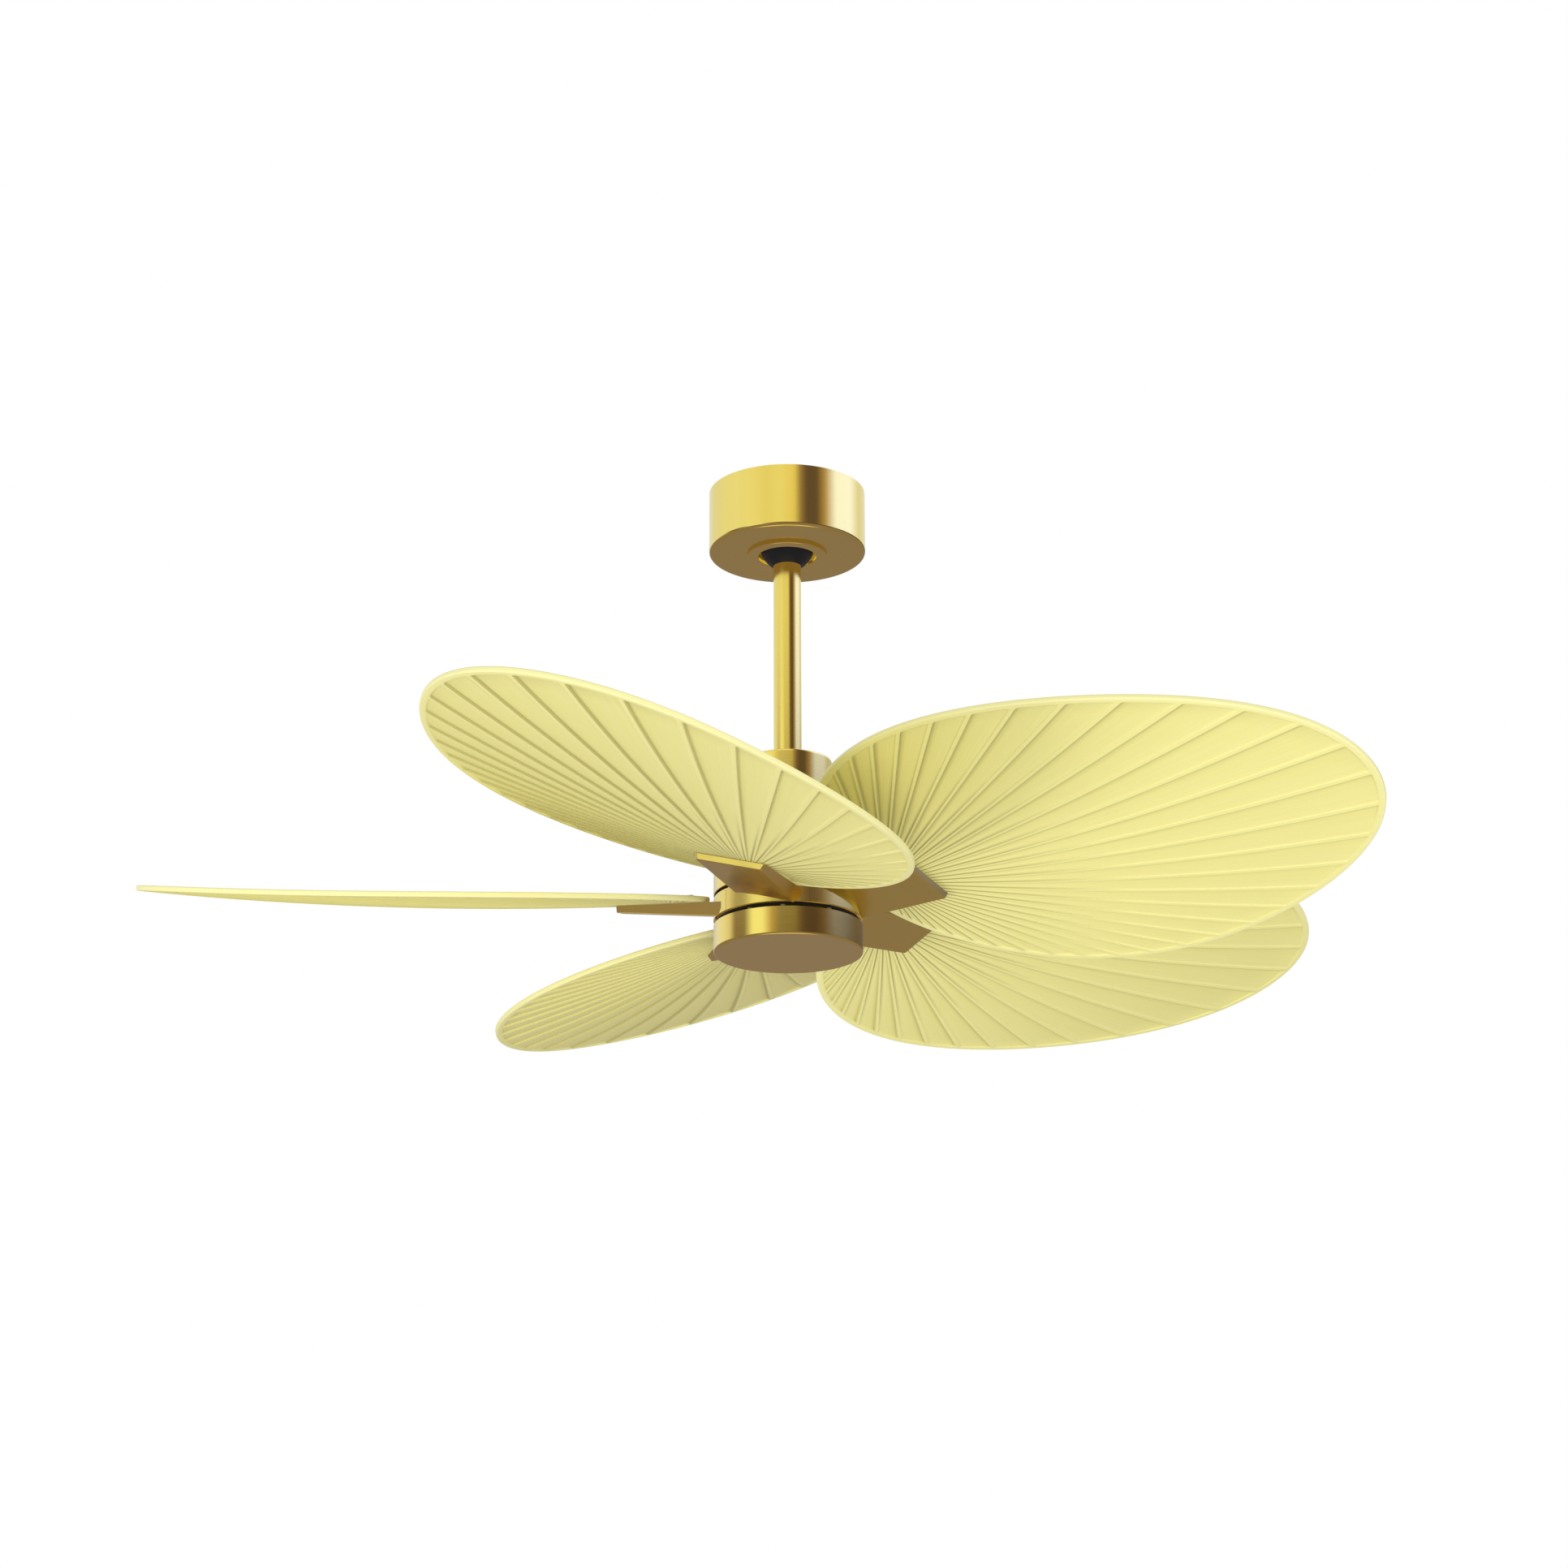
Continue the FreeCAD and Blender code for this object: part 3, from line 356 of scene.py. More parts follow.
# %% [markdown]
# ## Painted shade in the folds
# Little light reaches the narrow corner of a fold, so the real leaf shows a dark line beside each rib. It is
# broad on the deep side. On the level side it is fine, and fades out away from the hub. Ray tracing alone
# gives a weak line under soft light, so the line is painted shade in the plastic's colour. A picture of the
# lines could be painted, but it would need a map of the leaf. Here the share of painted shade is worked out
# with the columns and stored on the points, and the plastic reads it later. On the ribs of one side of the
# leaf the painted shade on the deep side is weaker, where more light reaches the folds.

# %% Painted shade beside the ribs
SIDE_REACH = 0.0009
DEEP_REACH = 0.0055
DEEP_REACH_MOST = 0.5
DEEP_FADE_POWER = 1.5
DEEP_SHADE = 0.54
DEEP_SHADE_FALL = 0.26
FALL_START = -0.1
FALL_SPAN = 0.5
KERB_REACH = 0.0026
KERB_REACH_MOST = 0.6
KERB_FADES_BY = 0.20
KERB_FADE_START = 1.25

side_reach = np.clip(SIDE_REACH / rib_half(distance), 0.0, 1.0)


def side_shade(foot):
    """Painted shade on one side of a rib: a soft step that is full where the side starts to drop to its foot
    at 1.
    """
    return smooth((foot - 1 + SIDE_SHARE + side_reach) / side_reach)


deep_reach = np.clip(DEEP_REACH / (distance * rib_step), 0.0, DEEP_REACH_MOST)
deep_fade = np.clip(1 - step_share / deep_reach, 0.0, 1.0) ** DEEP_FADE_POWER
deep_line = np.where(in_fold, deep_fade, side_shade(foot_share))
# Painted shade on the deep side is weaker on the ribs of one side of the leaf, where more light reaches the
# folds
deep_shade = DEEP_SHADE - DEEP_SHADE_FALL * smooth((rib * rib_step - FALL_START) / FALL_SPAN)
kerb_reach = np.clip(KERB_REACH / (distance * rib_step), 0.0, KERB_REACH_MOST)
kerb_fade = np.clip(1 - (1 - step_share) / kerb_reach, 0.0, 1.0)
kerb_line = np.where(in_fold, kerb_fade, side_shade(-foot_share))
kerb_shade = np.clip(KERB_FADE_START - distance / KERB_FADES_BY, 0.0, 1.0)
# Share of painted shade at each point: the stronger of the deep-side and kerb-side lines, only where the leaf
# is folded
painted_fold_shade = np.abs(fold_share) * folded * np.maximum(deep_shade * deep_line, kerb_shade * kerb_line)
print("shade runs from", painted_fold_shade.min().round(2), "to", painted_fold_shade.max().round(2))

# %% [markdown]
# ## Five blades
# The five blades are the same moulding, screwed to five arms that are evenly spaced round the motor, pitched
# like a propeller and raised a little at the tip. Linked copies with an object rotation would be lighter,
# but a piece of this part sits at the origin with its place in its mesh, so the points themselves are
# carried there. Three attributes go with each leaf: its own coordinates, the painted shade, and the share of
# border.

# %% Places of the blades
BLADE_COUNT = 5
FIRST_ANGLE = math.radians(34.44)
BLADE_PITCH = math.radians(-15.36)
BLADE_RISE = math.radians(-1.79)
LEAF_ORIGIN = Vector((0.0, 0.0, -0.4589))


def blade_frame(number):
    """Place of one blade: pitched about its length, raised at the tip, turned round the axis, lowered."""
    turn = Matrix.Rotation(FIRST_ANGLE + (number - 1) * 2 * math.pi / BLADE_COUNT, 4, "Z")
    lean = Matrix.Rotation(BLADE_RISE, 4, "Y") @ Matrix.Rotation(BLADE_PITCH, 4, "X")
    return Matrix.Translation(LEAF_ORIGIN) @ turn @ lean


def carried(points, place):
    """Points moved by a 4 by 4 matrix: p' = R p + t for the whole array at once."""
    matrix = np.array(place)
    return points @ matrix[:3, :3].T + matrix[:3, 3]


tips = [carried(np.array([LEAF_TIP_END, 0.0, 0.0]), blade_frame(k + 1)).round(2) for k in range(BLADE_COUNT)]
print("blade tips at", [tip.tolist() for tip in tips])

# %% Five leaves


def label(mesh, name, kind, field, values):
    """Values stored on the points of a mesh, under a name that a material can read."""
    layer = mesh.attributes.new(name, kind, "POINT")
    layer.data.foreach_set(field, values.astype(np.float32).ravel())


own_place = np.stack([leaf_points[..., 0] - RIB_ORIGIN, leaf_points[..., 1], level], axis=-1)
border_share = np.repeat([row[3] for row in leaf_rows], rib.size)
blades = []
for number in range(1, BLADE_COUNT + 1):
    placed = carried(leaf_points, blade_frame(number))
    blade = piece(f"leaf_{number}", placed, leaf_faces, "rotor", [f"blade_{number}"])
    label(blade.data, "leaf_place", "FLOAT_VECTOR", "vector", own_place)
    # The share of painted shade goes on the points, for the plastic to read
    label(blade.data, "leaf_painted_shade", "FLOAT", "value", painted_fold_shade)
    label(blade.data, "leaf_border", "FLOAT", "value", border_share)
    blades.append(blade)

# %% [markdown]
# ## Turned shells
# The canopy, the coupling cover and the housing are cups, spun or drawn from sheet on a round former. A
# turned surface repeats one profile of radius and height round the axis, as the Screw modifier does. A
# pressed edge is never knife sharp, so each corner of the profile is rounded by a small arc, which gives
# metal the thin line along its edges that the eye expects. Working out the profile here also lets one more
# point sit close beside each arc. It holds the shading of the flat wall, so that a reflection runs straight
# up to the edge.

# %% Rounded profiles
ARC_STEPS = 7
SHOULDER = 0.00015


def rounded(corners):
    """A closed profile with an arc at each corner: (radius, height, rounding) becomes points along the arcs.

    An arc is drawn as the curve (1-t)^2 a + 2t(1-t) b + t^2 c, where b is the corner and a and c are the
    points at the rounding's distance before and after it. A shoulder point lies just before and just after
    each arc."""
    middle = np.array([corner[:2] for corner in corners], float)
    size = np.array([corner[2] for corner in corners], float)[:, None]
    back = np.roll(middle, 1, axis=0) - middle
    back = back / np.linalg.norm(back, axis=1, keepdims=True)
    onward = np.roll(middle, -1, axis=0) - middle
    onward = onward / np.linalg.norm(onward, axis=1, keepdims=True)
    start = middle + back * size
    end = middle + onward * size
    t = np.linspace(0.0, 1.0, ARC_STEPS)[None, :, None]
    arcs = (1 - t) ** 2 * start[:, None] + 2 * t * (1 - t) * middle[:, None] + t**2 * end[:, None]
    lead_in = (start + back * SHOULDER)[:, None]
    lead_out = (end + onward * SHOULDER)[:, None]
    return np.concatenate([lead_in, arcs, lead_out], axis=1).reshape(-1, 2)


print("points for each rounded corner:", ARC_STEPS + 2)

# %% Sizes of the shells


def reach(cad_name):
    """Outer radius, bottom and top of a round CAD node, from its box."""
    low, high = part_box(cad_name)
    return high.x, low.z, high.z


for shell in ("canopy", "coupling_cover", "upper_housing"):
    print(shell, "radius, bottom and top:", [round(size, 4) for size in reach(shell)])

# %% Turned surfaces
AROUND = 256


def turned(name, corners, body, stands_for):
    """A ring-shaped surface: x = r cos a, y = r sin a, z = z for each profile point (r, z) and angle a."""
    profile = rounded(corners)
    angle = np.arange(AROUND) * 2 * math.pi / AROUND
    r = profile[:, 0][:, None]
    z = np.broadcast_to(profile[:, 1][:, None], (len(profile), AROUND))
    points = np.stack([r * np.cos(angle), r * np.sin(angle), z], axis=-1)
    faces = grid_faces(len(profile), AROUND, True).tolist()
    return piece(name, points, faces, body, [stands_for])


print("one step round the canopy:", round(2 * math.pi * reach("canopy")[0] / AROUND * 1000, 1), "mm")

# %% Drawn cups
SHEET = 0.0012
TURN_OVER = 0.0004


def cup(name, stands_for, body, hole, edge, open_side):
    """A drawn cup: a wall, a rounded edge and a floor with a round hole, open upwards (1) or down (-1)."""
    radius, low, high = reach(stands_for)
    floor_z, mouth_z = (low, high) if open_side > 0 else (high, low)
    inside = floor_z + open_side * SHEET
    corners = [
        (radius, mouth_z, TURN_OVER),
        (radius, floor_z, edge),
        (hole, floor_z, TURN_OVER),
        (hole, inside, TURN_OVER),
        (radius - SHEET, inside, edge - SHEET),
        (radius - SHEET, mouth_z, TURN_OVER),
    ]
    return turned(name, corners if open_side > 0 else corners[::-1], body, stands_for)


# %% Brass shells
CANOPY_HOLE = 0.0303
CANOPY_EDGE = 0.0040
COVER_HOLE = 0.0150
COVER_EDGE = 0.0020
HOUSING_HOLE = 0.0120
HOUSING_EDGE = 0.0032

canopy = cup("canopy_shell", "canopy", "ceiling_mount", CANOPY_HOLE, CANOPY_EDGE, 1)
cover = cup("cover_shell", "coupling_cover", "hanging", COVER_HOLE, COVER_EDGE, -1)
housing = cup("housing_shell", "upper_housing", "hanging", HOUSING_HOLE, HOUSING_EDGE, -1)

# %% [markdown]
# ## Materials
# Each finish is a small node tree. Image textures would need maps and files, so the patterns are noise on
# Object coordinates, or on the leaf's own coordinates where a pattern follows the ribs. Constants sit on the
# shader itself, so that an export keeps them. A few helpers keep the trees short.

# %% Node helpers


def finish(name, **sockets):
    """A new material, its node tree and its shader, with constant sockets set by name."""
    made = bpy.data.materials.new(name)
    made.use_nodes = True
    shader = made.node_tree.nodes["Principled BSDF"]
    for key, value in sockets.items():
        shader.inputs[key.replace("_", " ")].default_value = value
    return made, made.node_tree, shader


def node(tree, kind, inputs=None, **settings):
    """A node with its settings, and its inputs given as values or as the outputs that feed them."""
    made = tree.nodes.new(kind)
    for key, value in settings.items():
        setattr(made, key, value)
    for key, value in (inputs or {}).items():
        if isinstance(value, bpy.types.NodeSocket):
            tree.links.new(value, made.inputs[key])
        else:
            made.inputs[key].default_value = value
    return made


def dress(objects, material):
    """Puts one material on each object."""
    for target in objects:
        target.data.materials.clear()
        target.data.materials.append(material)
    print(material.name, "dresses", len(objects), "pieces")


# %% Helpers for values
FULL_RANGE = (0.0, 1.0)


def spread(tree, source, old, new=FULL_RANGE):
    """A value carried in a straight line from an old range to a new one, and held at the new one's ends."""
    ends = {1: old[0], 2: old[1], 3: new[0], 4: new[1]}
    return node(tree, "ShaderNodeMapRange", {0: source, **ends}).outputs[0]


def computed(tree, operation, first, second):
    """Two values put through one operation of the Math node."""
    return node(tree, "ShaderNodeMath", {0: first, 1: second}, operation=operation).outputs[0]


# %% Helpers for patterns


def noise(tree, place, detail, scale=1.0, stretch=None):
    """Noise at a place, first stretched by three factors where they are given."""
    if stretch:
        place = node(tree, "ShaderNodeMapping", {0: place, "Scale": stretch}).outputs[0]
    sockets = {"Vector": place, "Scale": scale, "Detail": detail}
    return node(tree, "ShaderNodeTexNoise", sockets).outputs["Fac"]


def polar(tree, place):
    """The angle of a place round the Z axis, its distance from the origin and its height."""
    split = node(tree, "ShaderNodeSeparateXYZ", {0: place}).outputs
    angle = computed(tree, "ARCTAN2", split["Y"], split["X"])
    away = node(tree, "ShaderNodeVectorMath", {0: place}, operation="LENGTH").outputs["Value"]
    return angle, away, split["Z"]


def surface(tree, shader, sheen, rough, grain, strength, relief):
    """Roughness between two values by one noise, and a fine bump of a strength and relief by another."""
    tree.links.new(spread(tree, sheen, FULL_RANGE, rough), shader.inputs["Roughness"])
    bump = node(tree, "ShaderNodeBump", {"Height": grain, "Strength": strength, "Distance": relief})
    tree.links.new(bump.outputs[0], shader.inputs["Normal"])


# %% [markdown]
# ## Brushed brass
# The sheet pieces and the rod have a satin brass finish: the sheet is brushed while it spins, which leaves
# very fine lines round the axis. An anisotropic shader could stretch the highlights, but few exports keep it.
# Noise in polar coordinates does it instead. It is stretched far along the angle, so that it becomes lines,
# and it changes the sheen and the surface only a little.

# %% Brushed brass
BRASS = (0.88, 0.70, 0.20, 1.0)
BRUSH_STRETCH = (3.0, 900.0, 1400.0)
BRUSH_DETAIL = 3.0
BRUSHED_ROUGH = (0.13, 0.18)
BRUSH_STRENGTH = 0.012
FINE_RELIEF = 0.0003


def brushed_brass(name):
    """Satin brass brushed round the axis: fine lines in noise that is stretched along the angle."""
    made, tree, shader = finish(name, Base_Color=BRASS, Metallic=1.0)
    place = node(tree, "ShaderNodeTexCoord").outputs["Object"]
    angle, away, height = polar(tree, place)
    round_place = node(tree, "ShaderNodeCombineXYZ", {0: angle, 1: away, 2: height}).outputs[0]
    lines = noise(tree, round_place, BRUSH_DETAIL, stretch=BRUSH_STRETCH)
    surface(tree, shader, lines, BRUSHED_ROUGH, lines, BRUSH_STRENGTH, FINE_RELIEF)
    return made


sheet_pieces = [nodes[name] for name in ("canopy_ring", "downrod", "bottom_cap")]
dress([canopy, cover, housing] + sheet_pieces, brushed_brass("satin_brass"))

# %% [markdown]
# ## Cast brass
# The five arms and the ring segments at their roots are castings with the same finish. A casting isn't
# brushed round an axis, so it has a fine even grain and slow changes of sheen. Two plain noises of very
# different size give both.

# %% Cast brass
CAST_GRAIN = 1600.0
CAST_CLOUDS = 30.0
CAST_DETAIL = 2.0
CAST_ROUGH = (0.20, 0.30)
CAST_STRENGTH = 0.02


def cast_brass(name):
    """The same brass on a casting: a fine even grain, and broad soft changes of sheen."""
    made, tree, shader = finish(name, Base_Color=BRASS, Metallic=1.0)
    place = node(tree, "ShaderNodeTexCoord").outputs["Object"]
    grain = noise(tree, place, CAST_DETAIL, CAST_GRAIN)
    clouds = noise(tree, place, CAST_DETAIL, CAST_CLOUDS)
    surface(tree, shader, clouds, CAST_ROUGH, grain, CAST_STRENGTH, FINE_RELIEF)
    return made


arms = [nodes[f"blade_arm_{number}"] for number in range(1, BLADE_COUNT + 1)]
dress(arms, cast_brass("cast_brass_finish"))

# %% [markdown]
# ## Leaf plastic
# The leaves are straw-yellow plastic with a faint fibre, as on a dried palm leaf. One flat colour would look
# like paper. So the tone follows the leaf's own shape: paler on the raised ribs, with fibres of noise drawn
# out along them, and darker by the painted shade stored beside the ribs. It is palest on the border and the
# rim, and on the rounded rim this pale tone is partly a painted highlight.

# %% Helpers for colours


def ramp(tree, source, stops):
    """A colour ramp through (place, grey or colour) stops."""
    made = node(tree, "ShaderNodeValToRGB", {0: source})
    marks = made.color_ramp.elements
    for place, colour in stops[len(marks):]:
        marks.new(place)
    for mark, (place, colour) in zip(marks, stops):
        mark.position = place
        mark.color = (*colour, 1.0) if isinstance(colour, tuple) else (colour, colour, colour, 1.0)
    return made.outputs["Color"]


def mixed(tree, share, first, second):
    """Two colours mixed by a share. The Mix node keeps its colours in inputs 6 and 7 and in output 2."""
    return node(tree, "ShaderNodeMix", {0: share, 6: first, 7: second}, data_type="RGBA").outputs[2]


# %% Leaf plastic
STRAW = (0.81, 0.75, 0.265)
STRAW_LIGHT = (0.86, 0.80, 0.315)
# Dark olive that the painted shade beside the ribs mixes into the straw, and how strongly
PAINTED_SHADE_TONE = (0.26, 0.225, 0.045, 1.0)
PAINTED_SHADE_STRENGTH = 0.95
# Pale tone of the border; on the rounded rim, where its share is full, it is partly a painted highlight
PALE_BORDER_AND_RIM_HIGHLIGHT = (0.90, 0.87, 0.48, 1.0)
BORDER_STRENGTH = 0.5
FIBRE_STRETCH = (160.0, 9.0, 1.0)
FIBRE_DETAIL = 4.0
FIBRE_MIDDLE = (0.3, 0.7)
FIBRE_CHANGE = (-0.25, 0.25)
LEAF_GRAIN = 1300.0
LEAF_DETAIL = 2.0
LEAF_ROUGH = (0.40, 0.52)
LEAF_STRENGTH = 0.05
LEAF_GLOSS = 0.4


def leaf_plastic(name):
    """Straw-yellow plastic: faint fibres, painted shade in the folds, paler ribs and border, a painted rim
    highlight.
    """
    made, tree, shader = finish(name, Specular_IOR_Level=LEAF_GLOSS)
    own = node(tree, "ShaderNodeAttribute", attribute_name="leaf_place").outputs["Vector"]
    angle, away, height = polar(tree, own)
    fibre_place = node(tree, "ShaderNodeCombineXYZ", {0: angle, 1: away}).outputs[0]
    fibre = noise(tree, fibre_place, FIBRE_DETAIL, stretch=FIBRE_STRETCH)
    raised = spread(tree, height, (FOLD_DEPTH, 0.0))
    paleness = computed(tree, "ADD", raised, spread(tree, fibre, FIBRE_MIDDLE, FIBRE_CHANGE))
    straw = ramp(tree, paleness, [(0.0, STRAW), (1.0, STRAW_LIGHT)])
    # Painted shade: the stored share turns the straw towards dark olive beside the ribs
    shade = node(tree, "ShaderNodeAttribute", attribute_name="leaf_painted_shade").outputs["Fac"]
    folds = mixed(tree, computed(tree, "MULTIPLY", shade, PAINTED_SHADE_STRENGTH), straw, PAINTED_SHADE_TONE)
    # Paler border, with a painted highlight along the rounded rim
    border = node(tree, "ShaderNodeAttribute", attribute_name="leaf_border").outputs["Fac"]
    edged = mixed(tree, computed(tree, "MULTIPLY", border, BORDER_STRENGTH), folds, PALE_BORDER_AND_RIM_HIGHLIGHT)
    tree.links.new(edged, shader.inputs["Base Color"])
    place = node(tree, "ShaderNodeTexCoord").outputs["Object"]
    grain = noise(tree, place, LEAF_DETAIL, LEAF_GRAIN)
    surface(tree, shader, grain, LEAF_ROUGH, grain, LEAF_STRENGTH, FINE_RELIEF)
    return made


dress(blades, leaf_plastic("leaf_plastic"))

# %% [markdown]
# ## Pieces inside
# The hanger, the coupling and the motor hardly show, but the part is also looked at from above and through
# its gaps. A tree for each would repeat itself, so one recipe covers them all: a colour with a fine grain in
# its tone, its sheen and its surface. Moulded, painted and sintered pieces differ in gloss. Bare metals
# differ in how the grain is stretched, for lines left by a lathe, by sheets in a stack or by turns of wire.

# %% Grained finishes
GRAIN_DETAIL = 3.0
GRAIN_TONE = 0.8
GRAIN_MIDDLE = (0.3, 0.7)
GRAIN_SHEEN = 0.06
GRAIN_RELIEF = 0.0004
EVEN_GRAIN = (1.0, 1.0, 1.0)
PLAIN_GLOSS = 0.5


def grained(name, colour, rough, scale, depth, metal=0.0, stretch=EVEN_GRAIN, gloss=PLAIN_GLOSS):
    """One colour with noise of a given scale and stretch in its tone, its sheen and its surface."""
    made, tree, shader = finish(name, Metallic=metal, Specular_IOR_Level=gloss)
    place = node(tree, "ShaderNodeTexCoord").outputs["Object"]
    grain = noise(tree, place, GRAIN_DETAIL, scale, stretch)
    dark = tuple(GRAIN_TONE * c for c in colour)
    tone = ramp(tree, grain, [(GRAIN_MIDDLE[0], dark), (GRAIN_MIDDLE[1], colour)])
    tree.links.new(tone, shader.inputs["Base Color"])
    surface(tree, shader, grain, (rough - GRAIN_SHEEN, rough + GRAIN_SHEEN), grain, depth, GRAIN_RELIEF)
    return made


inner = []


def dress_inside(names, material):
    """Puts a finish on inner CAD nodes, and keeps a list of them."""
    pieces = [nodes[name] for name in names]
    dress(pieces, material)
    inner.extend(pieces)


print("grain changes the tone by", round(100 * (1 - GRAIN_TONE)), "per cent")

# %% Moulded and painted pieces
NYLON_GLOSS = 0.3
DULL_GLOSS = 0.1
# Each finish: colour, roughness, scale and depth of its grain, gloss, and the pieces that have it
PAINTS = {
    "black_nylon": ((0.009, 0.010, 0.014), 0.40, 900.0, 0.10, NYLON_GLOSS, ["hanger_ball"]),
    "receiver_plastic": ((0.78, 0.78, 0.75), 0.48, 700.0, 0.08, PLAIN_GLOSS, ["receiver"]),
    "yoke_iron": ((0.05, 0.05, 0.05), 0.55, 500.0, 0.25, PLAIN_GLOSS, ["motor_coupling"]),
    "case_alloy": (
        (0.010, 0.009, 0.009), 0.55, 600.0, 0.15, DULL_GLOSS,
        ["rotor_upper_case", "rotor_lower_case"],
    ),
    "magnet_ferrite": ((0.06, 0.06, 0.065), 0.60, 1000.0, 0.12, PLAIN_GLOSS, ["rotor_magnets"]),
}
for name, (colour, rough, scale, depth, gloss, pieces) in PAINTS.items():
    dress_inside(pieces, grained(name, colour, rough, scale, depth, gloss=gloss))

# %% Bare metals
LEVEL_LINES = (0.02, 0.02, 1.0)
WIRE_TURNS = (1.0, 1.0, 0.05)
# Each finish: colour, roughness, scale and depth of its grain, stretch, and the pieces that have it
METALS = {
    "plated_sheet": (
        (0.62, 0.62, 0.60), 0.34, 120.0, 0.03, EVEN_GRAIN,
        ["ceiling_bracket", "lower_plate"],
    ),
    "shaft_steel": (
        (0.58, 0.58, 0.58), 0.28, 3000.0, 0.08, LEVEL_LINES,
        ["motor_shaft", "coupling_pin", "hanger_pin", "coupling_cotter", "shaft_nut"],
    ),
    "screw_steel": (
        (0.66, 0.64, 0.60), 0.30, 800.0, 0.05, EVEN_GRAIN,
        ["canopy_screws", "hanger_set_screw", "coupling_set_screws", "housing_screws", "arm_screws",
         "blade_screws"],
    ),
    "core_steel": ((0.36, 0.36, 0.38), 0.40, 2400.0, 0.30, LEVEL_LINES, ["stator_core"]),
    "winding_copper": ((0.60, 0.24, 0.09), 0.30, 1500.0, 0.40, WIRE_TURNS, ["stator_windings"]),
    "race_steel": (
        (0.72, 0.72, 0.74), 0.16, 4000.0, 0.03, LEVEL_LINES,
        ["bearing_inner_races", "bearing_outer_races"],
    ),
}
for name, (colour, rough, scale, depth, stretch, pieces) in METALS.items():
    dress_inside(pieces, grained(name, colour, rough, scale, depth, metal=1.0, stretch=stretch))

# %% [markdown]
# ## Floor
# The fan hangs in a plain white studio. A pale floor sends a little light back up, and lies so far below that
# the fan can also be looked at from underneath. A backdrop isn't needed, because the world is white for the
# camera. The brass doesn't mirror this floor: what it mirrors is made in the next step.

# %% Floor
FLOOR_DROP = 4.2
FLOOR_REACH = 3.4
PALE_GREY = (0.8, 0.8, 0.8, 1.0)
FLOOR_ROUGH = 0.8

square = FLOOR_REACH * np.array([(-1, -1, 0), (1, -1, 0), (1, 1, 0), (-1, 1, 0)])
floor_mesh = bpy.data.meshes.new("floor")
floor_mesh.from_pydata(square - (0, 0, FLOOR_DROP), [], [(0, 1, 2, 3)])
floor = bpy.data.objects.new("floor", floor_mesh)
scene.collection.objects.link(floor)
floor.visible_glossy = False
dress([floor], finish("pale_floor", Base_Color=PALE_GREY, Roughness=FLOOR_ROUGH)[0])

# %% [markdown]
# ## Room for the reflections
# Polished metal shows whatever stands round it, tinted by its own colour. Real cards and lamps could be
# set up in the scene, but they would also light the leaves. So the world holds a painted room that
# only reflections see. A ramp runs once round it, from behind the fan over the left, the camera and the
# right. The wall is bright on the left and has a dark gap beside the camera and a bright panel on the right.
# Its lower part, which the cap under the motor shows, has narrower bands and a dark right side. The ground is
# brown, and lighter straight under the fan.

# %% Walls of the room
BACK_WALL = (0.84, 0.88, 0.90)
LEFT_WALL = (0.98, 1.02, 0.94)
CREAM_WALL = (0.90, 0.88, 0.60)
FRONT_LIGHT = (1.0, 1.0, 0.72)
AMBER_WALL = (0.96, 0.86, 0.46)
GAP_EDGE = (0.34, 0.24, 0.17)
DARK_GAP = (0.12, 0.085, 0.09)
PANEL_EDGE = (0.52, 0.36, 0.20)
RIGHT_PANEL = (1.18, 1.36, 2.9)
HIGH_WALLS = [
    (0.00, BACK_WALL), (0.12, BACK_WALL), (0.28, LEFT_WALL), (0.41, CREAM_WALL), (0.47, FRONT_LIGHT),
    (0.53, AMBER_WALL), (0.555, GAP_EDGE), (0.58, DARK_GAP), (0.625, DARK_GAP), (0.663, PANEL_EDGE),
    (0.715, RIGHT_PANEL), (0.795, RIGHT_PANEL), (0.86, BACK_WALL), (1.00, BACK_WALL),
]
LOW_BACK = (0.5, 0.48, 0.5)
WINDOW = (0.92, 0.94, 1.1)
WINDOW_SIDE = (0.92, 0.94, 1.0)
WINDOW_FRAME = (0.85, 0.78, 0.75)
DARK_DOOR = (0.18, 0.10, 0.07)
DOOR_EDGE = (0.14, 0.08, 0.06)
LOW_LIGHT = (1.12, 1.16, 0.90)
LIGHT_EDGE = (0.46, 0.28, 0.12)
LOW_FRONT = (0.10, 0.055, 0.045)
LOW_GAP = (0.09, 0.055, 0.05)
LOW_RIGHT = (0.08, 0.05, 0.05)
LOW_CORNER = (0.20, 0.16, 0.14)
LOW_WALLS = [
    (0.00, LOW_BACK), (0.12, WINDOW), (0.17, WINDOW_SIDE), (0.215, WINDOW_FRAME), (0.25, DARK_DOOR),
    (0.305, DOOR_EDGE), (0.345, LOW_LIGHT), (0.39, LOW_LIGHT), (0.43, LIGHT_EDGE), (0.465, LOW_FRONT),
    (0.60, LOW_GAP), (0.80, LOW_RIGHT), (1.00, LOW_CORNER),
]
print("colour stops round the room:", len(HIGH_WALLS), "above and", len(LOW_WALLS), "below")

# %% Room seen by direction
WALL_CHANGE = (0.29, 0.335)
HORIZON = (0.05, 0.18)
FAR_FLOOR = (0.28, 0.225, 0.225, 1.0)
NEAR_FLOOR = (1.0, 0.90, 0.70, 1.0)
STEEP_DOWN = (-0.91, -0.96)

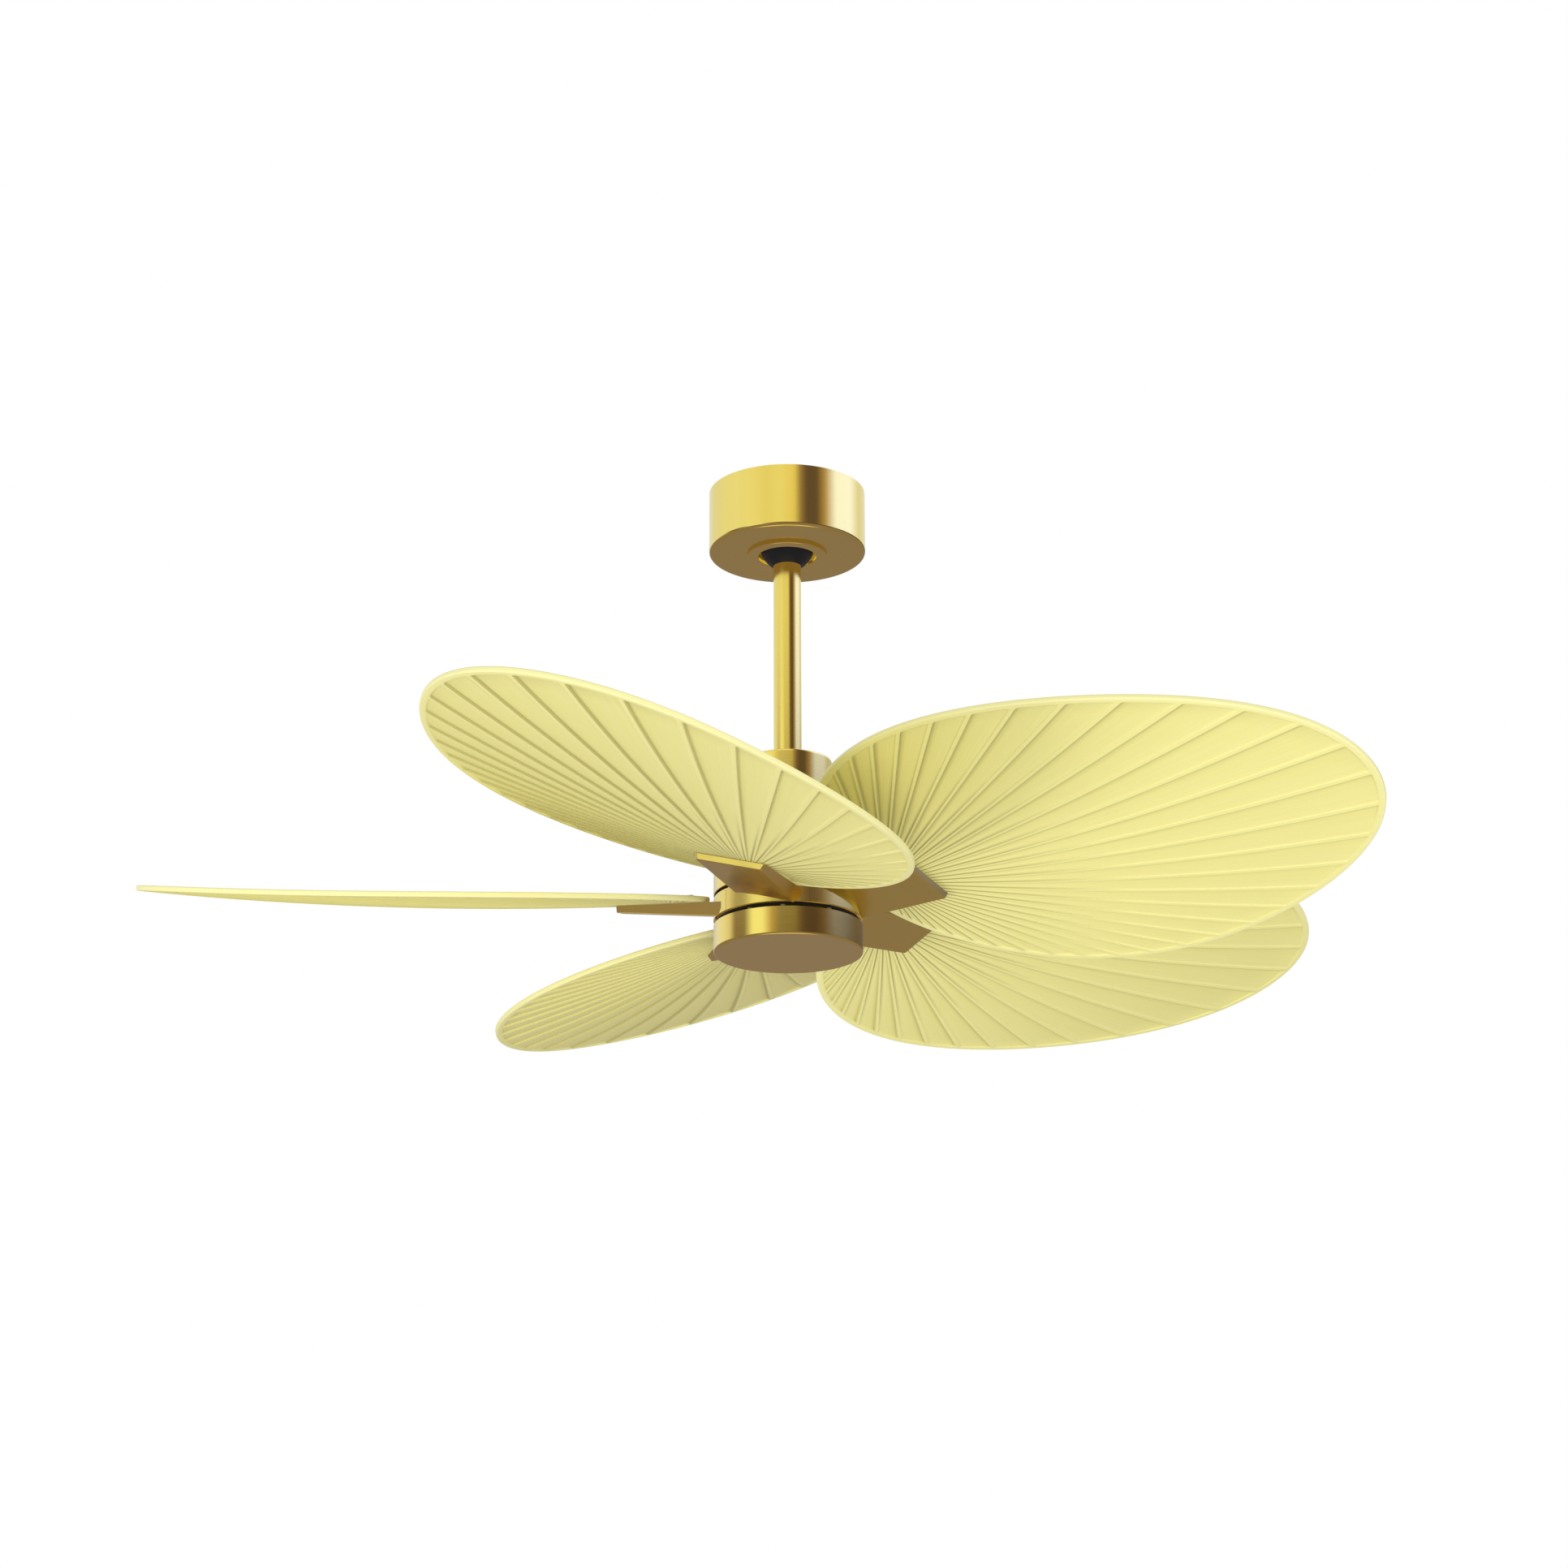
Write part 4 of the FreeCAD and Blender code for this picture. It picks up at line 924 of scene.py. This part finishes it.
world = bpy.data.worlds.new("studio")
world.use_nodes = True
scene.world = world
sky = world.node_tree
direction = node(sky, "ShaderNodeTexCoord").outputs["Generated"]
east, north, up = node(sky, "ShaderNodeSeparateXYZ", {0: direction}).outputs
heading = computed(sky, "ARCTAN2", east, computed(sky, "MULTIPLY", north, -1.0))
round_share = spread(sky, heading, (-math.pi, math.pi))
low_walls = ramp(sky, round_share, LOW_WALLS)
walls = mixed(sky, spread(sky, up, WALL_CHANGE), low_walls, ramp(sky, round_share, HIGH_WALLS))
ground = mixed(sky, spread(sky, up, STEEP_DOWN), FAR_FLOOR, NEAR_FLOOR)
room = mixed(sky, spread(sky, up, HORIZON), ground, walls)
print("the walls start above", HORIZON, "and change at", WALL_CHANGE)

# %% [markdown]
# ## What each ray sees
# The same world has three jobs. It lights the plastic evenly, with less from straight below, it gives the
# brass its room, and it is the white of the picture. White cards and a backdrop would do the same with more
# objects. The Light Path node tells the rays apart, so one world is enough.

# %% One world for three kinds of ray
EVEN_LIGHT = [(0.0, 0.38), (0.25, 0.46), (0.40, 0.74), (0.52, 0.88), (1.0, 0.6)]
WHITE = (1.0, 1.0, 1.0, 1.0)

even = ramp(sky, spread(sky, up, (-1.0, 1.0)), EVEN_LIGHT)
rays = node(sky, "ShaderNodeLightPath").outputs
lit = mixed(sky, rays["Is Glossy Ray"], even, room)
seen = mixed(sky, rays["Is Camera Ray"], lit, WHITE)
sky.links.new(seen, sky.nodes["Background"].inputs["Color"])
print("world nodes:", len(sky.nodes))

# %% [markdown]
# ## Lamps
# Three soft lamps below the fan bring out the folds: a strong one near the camera, a weaker one on the left
# and a faint one on the right. Small lamps would give hard shadows, and large ones would flatten the leaf.
# The brass doesn't mirror them, since a bright square on it would look wrong.

# %% Lamps
LAMPS = {
    "key_front": ((0.2, -3.6, -2.4), 62.0),
    "fill_left": ((-3.0, -0.8, -2.0), 38.0),
    "fill_right": ((2.8, -1.6, -2.0), 17.0),
}
LAMP_SIZE = 1.4
LAMP_AIM = Vector((0.0, 0.0, -0.4))


def soft_lamp(name, place, power):
    """A square lamp at a place, aimed at the middle of the fan and hidden from reflections."""
    data = bpy.data.lights.new(name, "AREA")
    data.size = LAMP_SIZE
    data.energy = power
    lamp = bpy.data.objects.new(name, data)
    lamp.location = place
    aim = LAMP_AIM - Vector(place)
    lamp.rotation_euler = aim.to_track_quat("-Z", "Y").to_euler()
    lamp.visible_glossy = False
    scene.collection.objects.link(lamp)
    print(name, "gives", power, "W from", round(aim.length, 2), "m")


for name, (place, power) in LAMPS.items():
    soft_lamp(name, place, power)

# %% [markdown]
# ## What the brass mirrors
# In the photograph the brass shows clean bands of the room, with no leaf, arm or rod in them. A studio would
# take those pieces away and join two pictures. Blender can hide an object from glossy rays alone, so that it
# still casts its shadow and the camera still sees it.

# %% Pieces hidden from reflections
unmirrored = blades + arms + [nodes["downrod"]] + inner
for hidden in unmirrored:
    hidden.visible_glossy = False
print("pieces that the brass doesn't mirror:", len(unmirrored))
